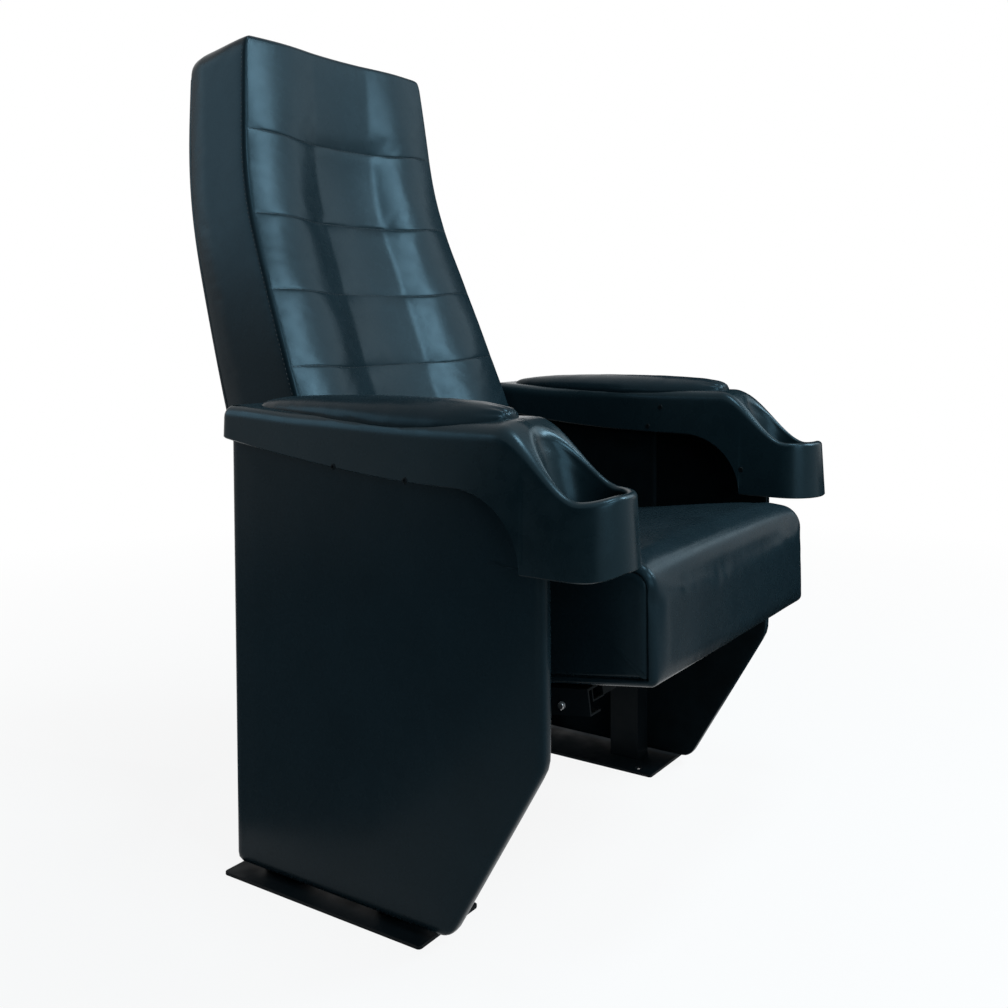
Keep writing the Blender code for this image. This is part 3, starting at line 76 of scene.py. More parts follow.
# Light, with each lamp's name, azimuth, elevation, size, radiance and colour
LIT_POINT = (0, 0.15, 0.80)
LAMP_DISTANCE = 2.4
LAMP_COLOUR = (0.66, 0.88, 1.0)
REAR_LAMP_COLOUR = (0.42, 0.78, 1.0)
SOFTBOXES = (("key_softbox", 28, 30, (0.55, 1.00), 38, LAMP_COLOUR),
             ("right_softbox", 55, 25, (1.60, 1.20), 2.6, LAMP_COLOUR),
             ("top_softbox", -4, 66, (0.60, 0.60), 36, LAMP_COLOUR),
             ("rim_softbox", -16, 30, (0.65, 0.55), 22, LAMP_COLOUR),
             ("front_softbox", -25, 5, (1.00, 0.80), 5, LAMP_COLOUR),
             ("rear_softbox", -139, 20, (1.30, 1.20), 3.0, REAR_LAMP_COLOUR))
AMBIENT = 0.06

# Cards that only gloss sees, with each card's name, azimuths, grey and (distance, height) places
CARD_BLACK = 0.004
CARD_GREY = 0.55
CARD_COLUMNS = 16
CARDS = (("seat_dark_card", (38, 88), CARD_BLACK, ((0.50, 0.002), (1.05, 0.002), (1.05, 0.45))),
         ("nose_dark_card", (60, 96), CARD_BLACK, ((1.05, 0.45), (1.05, 1.00))),
         ("side_dark_card", (78, 116), CARD_BLACK, ((2.0, 0.0), (2.0, 2.6))),
         ("camera_dark_card", (-120, -48), CARD_BLACK, ((2.6, 0.0), (2.6, 2.0))),
         ("floor_grey_card", (-165, -100), CARD_GREY, ((0.45, 0.002), (2.4, 0.002))))

# Floor
FLOOR_RINGS = (0.01, 0.5, 1, 2, 4, 6)
FLOOR_STEPS = 64
FLOOR_COLOUR = (0.50, 0.50, 0.50)
FLOOR_FADE_START = 0.5
FLOOR_FADE_END = 2.4
FLOOR_WHITE = 0.90

# Covers blown up as cloth
CLOTH_MASS = 0.02
CLOTH_PRESSURE = 4.0
CLOTH_FRAMES = 20

# Seat
SEAT_WIDTH = 0.441
SEAT_FRONT_Y = -0.392
SEAT_FRONT_TOP_Z = 0.446
SEAT_THICKNESS = 0.138
SEAT_TILT = radians(8.0)
SEAT_CROWN = 0.012
SEAT_CROWN_EDGE = 0.19
SEAT_SIDE_DRAW = 0.003
SEAT_NOSE_RADIUS = 0.030
SEAT_FOOT_RADIUS = 0.010
SEAT_LIP_RADIUS = 0.009
SEAT_GROOVE = 0.005
SEAT_GROOVE_INSET = 0.0012
SEAT_SIDE_DEPTHS = (0.0010, -0.0005)
SEAT_SIDE_INSETS = (0.0030, 0.0070)
SEAT_SIDE_BULGE = 0.0010
SEAT_HELD_HEIGHT = 0.004
SEAT_BACK_CLEARANCE = 0.008
SEAT_BOARD_THICKNESS = 0.012
SEAT_BOARD_MARGIN = 0.026
SEAT_STEP = 0.008
SEAT_SWELL = 0.0035
SEAT_WRINKLE = (0.0004, 15)

# Arms
CUP_RADIUS_FOOT = 0.051
CUP_RADIUS_RIM = 0.0465
CUP_WALL = 0.0095
CUP_FLOOR = 0.006
CUP_BORE_FOOT_RADIUS = 0.034
CUP_BORE_REACH = 0.030
CUP_BORE_WIDENING = 1.3
CUP_FLOOR_ROUND = 0.004
CUP_FLOOR_EASE = 0.0012
CUP_NOSE_Y = -0.400
CUP_RIM_ROUND = 0.0055
CUP_SCOOP_ROUND = 0.010
CUP_SCOOP_SHARE = 0.42
CUP_RIM_DROP = 0.071
CUP_SLOPE_LENGTH = 0.105
CUP_DEPTH = 0.1435
CUP_BACK_WALL = 0.010
ARM_X = 0.2765
ARM_HALF_REAR = 0.040
ARM_TOP_Z = 0.590
ARM_HUMP_RISE = 0.006
ARM_HUMP_Y = -0.255
ARM_REAR_Y = 0.175
ARM_REAR_LIFT = 0.006
ARM_REAR_LIFT_LENGTH = 0.140
ARM_ROLL_DROP = 0.008
ARM_ROLL_START_Y = 0.100
ARM_ROLL_LENGTH = 0.280
ARM_ROLL_START_X = 0.010
ARM_REAR_RADIUS = 0.010
ARM_EDGE_RADIUS = 0.015
ARM_EDGE_SHARE = 0.55
ARM_TOP_SPACING = 2.2
ARM_WALL = 0.0035
ARM_TOP_WALL = 0.004
ARM_SKIRT_REAR = 0.034
ARM_SKIRT_FRONT = 0.060
ARM_SKIRT_CURVE = 2.5
ARM_SKIRT_DRAFT = 0.001
ARM_FOOT_ROUND = 0.0015
ARCH_LENGTH = 0.090
ARCH_FOOT_Y = -0.290
OPENING_SPREAD = 0.055

# Arm pads
PAD_FRONT_Y = -0.248
PAD_REAR_Y = 0.145
PAD_HALF_WIDTH = 0.0410
PAD_WRAP = 0.0055
PAD_FRONT_POWER = 0.30
PAD_REAR_POWER = 0.55
PAD_CROWN = 0.0265
PAD_CROWN_POWER = 0.5
PAD_WIDEST = 0.30
PAD_RECESS = 0.003
PAD_CLEARANCE = 0.0008
PAD_GATHER = 0.0016
PAD_GATHER_START = 0.012
PAD_GATHER_END = 0.10
PAD_GATHER_PITCH = 1.9
PAD_GATHER_SPREAD = 4
PAD_HELD_SHARE = 0.02
PAD_ROWS = 64
PAD_SWELL = 0.0015
PAD_WRINKLE = (0.0005, 55)

# Side panels
PLATE_FRONT_Y = -0.150
OUTER_PANEL_X = 0.2975
OUTER_PANEL_THICKNESS = 0.018
OUTER_PANEL_EDGE = 0.006
PANEL_BOTTOM_Z = 0.012
PANEL_TOP_Z = 0.567
PANEL_REAR_Y = 0.168
PANEL_FRONT_Y = -0.307
PANEL_SLANT_TOP_Z = 0.230
PANEL_SLANT_FOOT_Y = -0.178
PANEL_CORNER = 0.012
PANEL_SLANT_SOFTNESS = 0.004
PANEL_ARCH_CLEARANCE = 0.002
PANEL_PUFF = 0.0012
PANEL_SOFTNESS = 0.35
PANEL_LIP_STEPS = (-0.002, 0, 0.0002)
INNER_PANEL_X = 0.251
INNER_PANEL_THICKNESS = 0.009
INNER_PANEL_EDGE = 0.003
INNER_PANEL_FRONT_Y = -0.140
INNER_PANEL_REAR_Y = 0.080
INNER_PANEL_BOTTOM_Z = 0.330

# Back
BACK_HALF_WIDTH = 0.226
BACK_BOTTOM_Z = 0.375
BACK_TOP_Z = 1.102
BACK_TOP_NARROWING = 0.042
BACK_NARROWING_POWER = 1.35
BACK_NARROWING_START_Z = 0.560
BACK_FRONT_Y = 0.133
BACK_FRONT_Z = 0.589
BACK_FRONT_LEAN = 0.41
BACK_FRONT_TOP_LEAN = 0.09
BACK_FRONT_BEND_Z = 0.780
BACK_FRONT_BEND_HEIGHT = 0.210
BACK_REAR_Y = 0.279
BACK_REAR_Z = 0.580
BACK_REAR_LEAN = 0.333
BACK_REAR_TOP_LEAN = 0.055
BACK_REAR_BEND_Z = 0.740
BACK_REAR_BEND_HEIGHT = 0.280
BACK_FOAM = 0.058
BACK_SIDE_WALL = 0.028
BACK_TOP_WALL = 0.060
BACK_TOP_RADIUS = 0.028
BACK_TOP_FRONT_RADIUS = 0.006
BACK_TOP_CORNER = 0.013
BACK_TOP_FALL = 0.012
BACK_TOP_FLATTENING = 0.65
BACK_CENTRE_DISH = 0.014
BACK_DISH_REACH = 0.75
BACK_BOLSTER = 0.010
BACK_BOLSTER_START = 0.30
BACK_SEW_Z = (0.641, 0.745, 0.850, 0.968)
BACK_SEW_DEPTH = 0.0008
BACK_SEW_WIDTH = 0.0014
BACK_SEW_SAG = 0.006
BACK_SEW_ROWS = (-2, -1, -0.45, 0, 0.45, 1, 2)
BACK_SEW_ROOM = 2.6
BACK_SEW_HELD = 0.6
BACK_SEW_END_POWER = 8
BACK_SAG_REACH = 0.85
BACK_SAG_EASE = 0.45
BACK_SAG_FADE = 0.080
BACK_REAR_TUCK = 0.004
BACK_TUCK_START = 0.85
BACK_COVER_TOP_Z = 1.052
BACK_COVER_THICKNESS = 0.006
BACK_COVER_INSET = 0.003
BACK_STEP = 0.0085
BACK_COLUMN_EASE = 0.18
BACK_SWELL = 0.0010
BACK_WRINKLE = (0.0006, 13)
BACK_WRINKLE_START = 0.05
BACK_COVER_SOFTNESS = 0.0006
BACK_COVER_EDGE_STEPS = (0, 0.3, 1)

# Return springs, along the tilted slide
SPRING_X = 0.070
SPRING_FRONT = 0.3928
SPRING_REAR = 0.5025
SPRING_AXIS = -0.0128
SPRING_RADIUS = 0.009
SPRING_WIRE = 0.0025
SPRING_TURNS = 9
SPRING_END_TURNS = 0.75

# Fasteners
BOLT_FLATS = 0.013
BOLT_HEAD = 0.0053
BOLT_CHAMFER = 0.0008
WASHER_RADIUS = 0.008
WASHER_THICKNESS = 0.0016
BOLT_SPACING = 0.068
SCREW_RADIUS = 0.0038
SCREW_HEAD = 0.0014
SCREW_SOCKET = 0.0016
RAIL_BOLT_SIZE = 0.6
RAIL_BOLT_Y = -0.270
RAIL_BOLT_Z = 0.266
ARM_SCREW_REACH = 1.5

# Screws of each arm as (y, z) on its outer and its inner face
ARM_SCREWS_OUTER = ((-0.022, 0.531), (-0.134, 0.526))
ARM_SCREWS_INNER = ((-0.158, 0.570), (-0.137, 0.540), (-0.293, 0.484))

# Stitches, with each section's place along, size and sink
STITCH_SECTIONS = ((-1, 0.2, 1.6), (-0.7, 0.85, 0.4), (0, 1, 0), (0.7, 0.85, 0.4), (1, 0.2, 1.6))
STITCH_SIDES = 6
STITCH_LENGTH = 0.0042
STITCH_PITCH = 0.0062
STITCH_RADIUS = 0.00045
STITCH_SEAM_SETBACK = 0.006
STITCH_SEAM_FOOT = 0.02
STITCH_SEAM_TOP = 0.012
STITCH_LINE_REACH = 0.985

# Positions that follow from the sizes above
SHIFT_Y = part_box("floor_plate_left")[0][1] - PLATE_FRONT_Y
CUP_Y = CUP_NOSE_Y + CUP_RADIUS_FOOT
CUP_BOTTOM_Z = ARM_TOP_Z - CUP_DEPTH
CUP_FLOOR_Z = CUP_BOTTOM_Z + CUP_FLOOR
ARCH_TOP_Z = ARM_TOP_Z - ARM_SKIRT_FRONT
ARCH_TOP_Y = ARCH_FOOT_Y + ARCH_LENGTH
PAD_SEAT_Z = ARM_TOP_Z - PAD_RECESS
CAVITY_TOP_Z = PAD_SEAT_Z - ARM_TOP_WALL
SLIDE_Z = SEAT_FRONT_TOP_Z - SEAT_THICKNESS / cos(SEAT_TILT)


def blend(amount):
    """Smooth step from 0 to 1."""
    amount = min(max(amount, 0.0), 1.0)
    return amount * amount * (3 - 2 * amount)


def mix(start, end, amount):
    return start + (end - start) * amount


def spread(low, high, count):
    """Evenly spaced values, both ends included."""
    return [mix(low, high, step / (count - 1)) for step in range(count)]


def in_frame(point):
    """Place in the frame of a point in the chair's own y."""
    return Vector((point[0], point[1] + SHIFT_Y, point[2]))


def in_chair(point):
    """Place in the chair's own y of a point in the frame."""
    return Vector((point[0], point[1] - SHIFT_Y, point[2]))


def flat(rows):
    """One list from a list of rows."""
    return [entry for row in rows for entry in row]


def edged(low, high, insets, count):
    """Places from low to high, close together at both edges and evenly spaced between them."""
    places = [low + inset for inset in insets] + spread(low + insets[-1], high - insets[-1], count)[1:-1]
    return places + [high - inset for inset in reversed(insets)]


# Mesh helpers
def add_object(name, data):
    made = bpy.data.objects.new(name, data)
    bpy.context.scene.collection.objects.link(made)
    return made


def new_piece(name, points, faces):
    """Mesh object from points in the chair's own y, with its normals turned outward."""
    mesh = bpy.data.meshes.new(name)
    mesh.from_pydata([in_frame(point) for point in points], [], faces)
    shape = bmesh.new()
    shape.from_mesh(mesh)
    bmesh.ops.remove_doubles(shape, verts=shape.verts, dist=MERGE_DISTANCE)
    bmesh.ops.dissolve_degenerate(shape, edges=shape.edges, dist=SLIVER)
    bmesh.ops.recalc_face_normals(shape, faces=shape.faces)
    shape.to_mesh(mesh)
    shape.free()
    mesh.shade_smooth()
    return add_object(name, mesh)


def ring_faces(rings, around):
    """Quads between successive closed rings of points."""
    faces = []
    for ring in range(rings - 1):
        for step in range(around):
            after = (step + 1) % around
            low = ring * around
            high = low + around
            faces.append((low + step, low + after, high + after, high + step))
    return faces


def capped_faces(rings, around):
    """Quads between successive closed rings, and a flat face at each end."""
    last = (rings - 1) * around
    return ring_faces(rings, around) + [tuple(range(around)), tuple(range(last, last + around))]


def lofted(name, rings):
    """Closed piece through rings of points."""
    return new_piece(name, flat(rings), capped_faces(len(rings), len(rings[0])))


def grid_faces(rows, columns, first=0):
    faces = []
    for row in range(rows - 1):
        for column in range(columns - 1):
            low = first + row * columns + column
            faces.append((low, low + 1, low + columns + 1, low + columns))
    return faces


def two_sided(name, face, rear):
    """Closed piece from two grids of points of the same rows and columns, joined round their edges."""
    rows = len(face)
    columns = len(face[0])
    half = rows * columns
    edge = list(range(columns - 1))
    edge += [row * columns + columns - 1 for row in range(rows - 1)]
    edge += [half - 1 - step for step in range(columns - 1)]
    edge += [row * columns for row in range(rows - 1, 0, -1)]
    faces = grid_faces(rows, columns) + grid_faces(rows, columns, half)
    faces += [(here, after, half + after, half + here) for here, after in zip(edge, edge[1:] + edge[:1])]
    return new_piece(name, flat(face) + flat(rear), faces)


def rounded_edge(near_side, near_end, edge):
    """How far a point of a board lies out over its rounded edge, from 0 to 1 or more, and its drop there."""
    over = hypot(max(1 - near_side / edge, 0), max(1 - near_end / edge, 0))
    return over, edge * (1 - max(1 - over * over, 0) ** 0.5)


def evaluated_mesh(piece):
    return bpy.data.meshes.new_from_object(piece.evaluated_get(bpy.context.evaluated_depsgraph_get()))


def apply_modifiers(piece):
    mesh = evaluated_mesh(piece)
    piece.modifiers.clear()
    piece.data = mesh


def subdivide(piece):
    modifier = piece.modifiers.new("fine", "SUBSURF")
    modifier.levels = 1
    modifier.render_levels = 1
    apply_modifiers(piece)


def cut(piece, cutter):
    modifier = piece.modifiers.new("cut", "BOOLEAN")
    modifier.operation = "DIFFERENCE"
    modifier.solver = "EXACT"
    modifier.object = cutter
    apply_modifiers(piece)
    bpy.data.objects.remove(cutter, do_unlink=True)


def crease_shading(piece, angle=40):
    piece.data.shade_smooth()
    piece.data.set_sharp_from_angle(angle=radians(angle))


def swell(piece, held, most):
    """Blows a cover up as cloth, held at the chosen points, and keeps each move within a limit."""
    group = piece.vertex_groups.new(name="held")
    group.add(held, 1.0, "REPLACE")
    cloth = piece.modifiers.new("cover", "CLOTH")
    cloth.settings.vertex_group_mass = group.name
    cloth.settings.mass = CLOTH_MASS
    cloth.settings.use_pressure = True
    cloth.settings.uniform_pressure_force = CLOTH_PRESSURE
    cloth.settings.effector_weights.gravity = 0
    cloth.collision_settings.use_collision = False
    cloth.point_cache.frame_start = 1
    cloth.point_cache.frame_end = CLOTH_FRAMES
    for step in range(1, CLOTH_FRAMES + 1):
        bpy.context.scene.frame_set(step)
    swollen = evaluated_mesh(piece)
    piece.modifiers.remove(cloth)
    piece.vertex_groups.remove(group)
    for point, target in zip(piece.data.vertices, swollen.vertices):
        move = target.co - point.co
        if move.length > most:
            move *= most / move.length
        point.co += move
    bpy.data.meshes.remove(swollen)
    bpy.context.scene.frame_set(1)


def dress(piece, body, nodes, material):
    """Hangs the piece on the empty of what it rides on, hides the CAD nodes it stands for, and gives it its
    finish.
    """
    piece.data.materials.clear()
    piece.data.materials.append(material)
    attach(piece, body)
    if nodes:
        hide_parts(*nodes)


# Finishes
class Finish:
    """A Principled material whose colour, roughness and bump come from noise in object coordinates."""

    def __init__(self, name, colour, roughness, metallic=0.0, specular=0.5, tint=(1, 1, 1)):
        self.material = bpy.data.materials.new(name)
        self.material.use_nodes = True
        self.tree = self.material.node_tree
        self.shader = self.tree.nodes["Principled BSDF"]
        self.colour = colour
        self.roughness = roughness
        self.set("Metallic", metallic)
        self.set("Specular IOR Level", specular)
        self.set("Specular Tint", (*tint, 1))
        self.place = self.node("ShaderNodeTexCoord").outputs["Object"]
        self.bumped = None

    def node(self, kind, **values):
        made = self.tree.nodes.new(kind)
        for name, value in values.items():
            made.inputs[name.replace("_", " ")].default_value = value
        return made

    def set(self, name, value):
        self.shader.inputs[name].default_value = value

    def link(self, output, target):
        self.tree.links.new(output, target)

    def noise(self, scale, detail=2.0, stretch=None):
        texture = self.node("ShaderNodeTexNoise", Scale=scale, Detail=detail)
        place = self.place
        if stretch:
            mapping = self.node("ShaderNodeMapping", Scale=stretch)
            self.link(place, mapping.inputs["Vector"])
            place = mapping.outputs["Vector"]
        self.link(place, texture.inputs["Vector"])
        return texture.outputs["Fac"]

    def cells(self, scale):
        texture = self.node("ShaderNodeTexVoronoi", Scale=scale)
        self.link(self.place, texture.inputs["Vector"])
        return texture.outputs["Distance"]

    def vary_colour(self, value, spread_by):
        ramp = self.node("ShaderNodeValToRGB")
        dark = [part * (1 - spread_by) for part in self.colour]
        light = [part * (1 + spread_by) for part in self.colour]
        ramp.color_ramp.elements[0].position = NOISE_LOW
        ramp.color_ramp.elements[1].position = NOISE_HIGH
        ramp.color_ramp.elements[0].color = (*dark, 1)
        ramp.color_ramp.elements[1].color = (*light, 1)
        self.link(value, ramp.inputs["Fac"])
        self.link(ramp.outputs["Color"], self.shader.inputs["Base Color"])

    def vary_roughness(self, value, spread_by):
        made = self.node("ShaderNodeMapRange", From_Min=NOISE_LOW, From_Max=NOISE_HIGH,
                         To_Min=self.roughness - spread_by, To_Max=self.roughness + spread_by)
        self.link(value, made.inputs["Value"])
        self.link(made.outputs["Result"], self.shader.inputs["Roughness"])

    def bump(self, value, height, strength=1.0):
        made = self.node("ShaderNodeBump", Distance=height, Strength=strength)
        self.link(value, made.inputs["Height"])
        if self.bumped:
            self.link(self.bumped, made.inputs["Normal"])
        self.bumped = made.outputs["Normal"]
        self.link(self.bumped, self.shader.inputs["Normal"])


LEATHER_COLOUR = (0.0052, 0.0100, 0.0126)
PLASTIC_COLOUR = (0.0044, 0.0092, 0.0114)
COOL_GLOSS = (0.50, 0.82, 1.0)


def leatherette():
    finish = Finish("blue_black_leatherette", LEATHER_COLOUR, 0.27, specular=0.08, tint=COOL_GLOSS)
    finish.vary_colour(finish.noise(14, 4), 0.10)
    finish.vary_roughness(finish.noise(60, 3), 0.025)
    finish.bump(finish.noise(22, 1), 0.0012, 0.12)
    finish.bump(finish.cells(900), 0.00006, 0.18)
    finish.bump(finish.noise(2600, 2), 0.00002, 0.18)
    return finish.material


def moulded_plastic():
    finish = Finish("black_moulded_plastic", PLASTIC_COLOUR, 0.28, specular=0.15, tint=COOL_GLOSS)
    finish.vary_colour(finish.noise(9, 4), 0.12)
    finish.vary_roughness(finish.noise(45, 4), 0.05)
    finish.bump(finish.noise(1500, 3), 0.00003, 0.35)
    finish.bump(finish.noise(16, 2), 0.0009, 0.12)
    return finish.material


def painted_steel():
    finish = Finish("black_painted_steel", (0.0026, 0.0042, 0.0052), 0.52, specular=0.05)
    finish.vary_colour(finish.noise(12, 5), 0.25)
    finish.vary_roughness(finish.noise(40, 4), 0.08)
    finish.bump(finish.noise(900, 3), 0.00010, 0.35)
    return finish.material


def zinc_steel():
    finish = Finish("zinc_plated_steel", (0.48, 0.49, 0.50), 0.32, metallic=1.0)
    finish.vary_colour(finish.noise(60, 4), 0.14)
    finish.vary_roughness(finish.noise(180, 4), 0.08)
    finish.bump(finish.noise(1200, 2), 0.00008, 0.3)
    return finish.material


def plywood():
    finish = Finish("plywood", (0.40, 0.27, 0.15), 0.62)
    finish.vary_colour(finish.noise(30, 6, (1, 0.12, 9)), 0.22)
    finish.vary_roughness(finish.noise(90, 3), 0.06)
    finish.bump(finish.noise(240, 4, (1, 0.1, 6)), 0.0004, 0.4)
    return finish.material


def white_nylon():
    finish = Finish("white_nylon", (0.66, 0.66, 0.62), 0.44)
    finish.vary_colour(finish.noise(80, 3), 0.05)
    finish.vary_roughness(finish.noise(160, 3), 0.05)
    finish.bump(finish.noise(700, 2), 0.0001, 0.2)
    return finish.material


def black_rubber():
    finish = Finish("black_rubber", (0.012, 0.012, 0.012), 0.78)
    finish.vary_colour(finish.noise(50, 3), 0.2)
    finish.vary_roughness(finish.noise(120, 3), 0.06)
    finish.bump(finish.noise(900, 3), 0.0002, 0.4)
    return finish.material


def sewing_thread():
    finish = Finish("dark_thread", (0.0035, 0.0060, 0.0075), 0.70, specular=0.3)
    finish.vary_colour(finish.noise(900, 2), 0.3)
    finish.bump(finish.noise(4000, 2, (1, 1, 3)), 0.0001, 0.5)
    return finish.material


# Dark matte finish that paints shade onto the outer panels' inward faces and onto the inner panels, which
# lie in shade
def painted_shade_lining():
    finish = Finish("painted_shade_lining", (0.0018, 0.0034, 0.0042), 0.90, specular=0.03)
    finish.vary_colour(finish.noise(40, 4), 0.25)
    finish.vary_roughness(finish.noise(90, 3), 0.05)
    finish.bump(finish.noise(1400, 3), 0.0002, 0.5)
    return finish.material


LEATHERETTE = leatherette()
PAINTED_SHADE_LINING = painted_shade_lining()
PLASTIC = moulded_plastic()
THREAD = sewing_thread()
ZINC = zinc_steel()
SLOT_FINISHES = {"leatherette": LEATHERETTE, "arm_plastic": PLASTIC, "black_steel": painted_steel(),
                 "zinc_steel": ZINC, "plywood": plywood(), "nylon": white_nylon(), "rubber": black_rubber()}


# Outlines shared by several pieces
def rounded(corners, steps):
    """Closed outline from (u, v, radius) corners, with an arc at each corner."""
    outline = []
    for index, (u, v, radius) in enumerate(corners):
        here = Vector((u, v))
        last = (Vector(corners[index - 1][:2]) - here).normalized()
        following = (Vector(corners[(index + 1) % len(corners)][:2]) - here).normalized()
        half_angle = last.angle(following) / 2
        centre = here + (last + following).normalized() * (radius / sin(half_angle))
        start = here + last * (radius / tan(half_angle)) - centre
        end = here + following * (radius / tan(half_angle)) - centre
        for step in range(steps + 1):
            outline.append(centre + start.slerp(end, step / steps).normalized() * radius)
    return outline


def with_steps(outline, longest):
    """Outline with its long edges split evenly."""
    refined = []
    for index, here in enumerate(outline):
        last = outline[index - 1]
        pieces = max(1, round((here - last).length / longest))
        refined += [last.lerp(here, step / pieces) for step in range(1, pieces + 1)]
    return refined


def outline_normals(outline):
    """Outward normals of a closed outline that runs anticlockwise."""
    normals = []
    for index in range(len(outline)):
        along = (outline[(index + 1) % len(outline)] - outline[index - 1]).normalized()
        normals.append(Vector((along.y, -along.x)))
    return normals


# Seat cushion
def slide_to_chair(x, y, z):
    """Chair coordinates of a point given along the tilted slide, from the foot of the seat's front face."""
    return (x, SEAT_FRONT_Y + y * cos(SEAT_TILT) + z * sin(SEAT_TILT),
            SLIDE_Z - y * sin(SEAT_TILT) + z * cos(SEAT_TILT))


def seat_depth():
    """Depth at which the seat's rear top edge stops short of the back's front line."""
    top_y, top_z = slide_to_chair(0, 0, SEAT_THICKNESS)[1:]
    back_y = BACK_FRONT_Y + BACK_FRONT_LEAN * (top_z - BACK_FRONT_Z)
    room = back_y - SEAT_BACK_CLEARANCE - BACK_BOLSTER - top_y
    return room / (cos(SEAT_TILT) + BACK_FRONT_LEAN * sin(SEAT_TILT))


SEAT_DEPTH = seat_depth()


def seat_outline():
    nose = -SEAT_THICKNESS * tan(SEAT_TILT)
    corners = [(0, 0, SEAT_FOOT_RADIUS), (SEAT_DEPTH, 0, SEAT_FOOT_RADIUS),
               (SEAT_DEPTH, SEAT_THICKNESS, SEAT_FOOT_RADIUS), (nose, SEAT_THICKNESS, SEAT_NOSE_RADIUS)]
    return with_steps(rounded(corners, 6), SEAT_STEP)


def seat_side_profile():
    """Lip, groove and side of the seat as (distance in from the side, inset of the outline, held)."""
    profile = []
    for step in range(6):
        angle = pi / 2 * step / 5
        profile.append((SEAT_LIP_RADIUS * (1 - sin(angle)), SEAT_LIP_RADIUS * (1 - cos(angle)), False))
    profile.append((SEAT_GROOVE, SEAT_LIP_RADIUS + SEAT_GROOVE_INSET, True))
    for depth, inset in zip(SEAT_SIDE_DEPTHS, SEAT_SIDE_INSETS):
        profile.append((depth, SEAT_LIP_RADIUS + inset, False))
    return profile


def seat_point(share, side_x, point):
    """Point of the seat in the slide frame, with the crown of the top and the sides drawn in."""
    y, z = point
    middle = SEAT_THICKNESS / 2
    along = sin(pi * min(max(y, 0), SEAT_DEPTH) / SEAT_DEPTH)
    rise = blend((z - middle) / middle)
    crown = SEAT_CROWN * (1 - share * share) ** 0.5
    x = side_x - (SEAT_SIDE_DRAW * along * share)
    return slide_to_chair(x, y, z + crown * rise * max(along, SEAT_CROWN_EDGE) ** 0.5)


def seat_stations():
    """Sections across the seat as (x, ring of the outline, held), from its middle out to its closed side."""
    outline = seat_outline()
    normals = outline_normals(outline)
    half = SEAT_WIDTH / 2
    spine_low = SEAT_THICKNESS / 2
    spine_high = SEAT_DEPTH - SEAT_THICKNESS / 2
    stations = [(x, outline, False) for x in spread(0, half - SEAT_LIP_RADIUS, 26)[:-1]]
    for in_from_side, inset, held in seat_side_profile():
        ring = [point - normal * inset for point, normal in zip(outline, normals)]
        stations.append((half - in_from_side, ring, held))
    last_x, last_ring = stations[-1][:2]
    for step in range(1, 9):
        share = step / 8
        ring = [point.lerp(Vector((min(max(point.x, spine_low), spine_high), spine_low)), share)
                for point in last_ring]
        stations.append((last_x + SEAT_SIDE_BULGE * sin(pi / 2 * share), ring, True))
    return stations


def board_recess():
    """Cutter for the seat board under the cushion."""
    low_x = -SEAT_WIDTH / 2 + SEAT_BOARD_MARGIN - GAP
    low_y = SEAT_BOARD_MARGIN - GAP
    high_y = SEAT_DEPTH - low_y
    corners = ((low_x, low_y), (-low_x, low_y), (-low_x, high_y), (low_x, high_y))
    levels = (-SEAT_THICKNESS, SEAT_BOARD_THICKNESS + GAP)
    return lofted("board_recess", [[slide_to_chair(x, y, z) for x, y in corners] for z in levels])


def seat_cushion():
    right = seat_stations()
    left = [(-x, ring, held) for x, ring, held in reversed(right[1:])]
    points = []
    fixed = []
    for x, ring, held in left + right:
        share = min(max(x / (SEAT_WIDTH / 2), -1), 1)
        for point in ring:
            points.append(seat_point(share, x, point))
            if held or point.y < SEAT_HELD_HEIGHT:
                fixed.append(points[-1])
    piece = new_piece("seat_cushion_cover", points, ring_faces(len(left + right), len(right[0][1])))
    swell(piece, held_points(piece, fixed), SEAT_SWELL)
    wrinkle(piece, *SEAT_WRINKLE)
    subdivide(piece)
    cut(piece, board_recess())
    crease_shading(piece)
    dress(piece, "seat", ["seat_cushion"], LEATHERETTE)


def held_points(piece, places):
    """Numbers of the mesh points that lie at the given places in the chair's own y."""
    wanted = {tuple(round(value, 4) for value in in_frame(place)) for place in places}
    return [point.index for point in piece.data.vertices
            if tuple(round(value, 4) for value in point.co) in wanted]


def wrinkle(piece, height, scale, places=None):
    """Moves the surface in and out by smooth noise, so that a cover isn't dead flat."""
    for point in piece.data.vertices:
        weight = places(point.co) if places else 1.0
        point.co += point.normal * (height * weight * noise.noise(point.co * scale))


# Back cushion and cover
def bend_reach(z, bend_z, bend_height):
    """Height by which a line has left its old lean, growing smoothly over the bend and steadily above it."""
    turn = (z - bend_z) / bend_height
    if turn <= 0:
        return 0.0
    if turn < 1:
        return bend_height * (turn ** 3 - turn ** 4 / 2)
    return bend_height * (turn - 0.5)


def back_front(z):
    bent = bend_reach(z, BACK_FRONT_BEND_Z, BACK_FRONT_BEND_HEIGHT)
    straight = BACK_FRONT_Y + BACK_FRONT_LEAN * (z - BACK_FRONT_Z)
    return straight + (BACK_FRONT_TOP_LEAN - BACK_FRONT_LEAN) * bent


def back_rear(z):
    bent = bend_reach(z, BACK_REAR_BEND_Z, BACK_REAR_BEND_HEIGHT)
    straight = BACK_REAR_Y + BACK_REAR_LEAN * (z - BACK_REAR_Z)
    return straight + (BACK_REAR_TOP_LEAN - BACK_REAR_LEAN) * bent


def back_half_width(z):
    rise = max(z - BACK_NARROWING_START_Z, 0) / (BACK_TOP_Z - BACK_NARROWING_START_Z)
    return BACK_HALF_WIDTH - BACK_TOP_NARROWING * rise ** BACK_NARROWING_POWER


def back_sag(share, z):
    """How far a level line on the face hangs down between its ends."""
    fade = blend((z - BACK_BOTTOM_Z) / BACK_SAG_FADE) * blend((BACK_TOP_Z - z) / BACK_SAG_FADE)
    return BACK_SEW_SAG * blend((BACK_SAG_REACH - abs(share)) / BACK_SAG_EASE) * fade


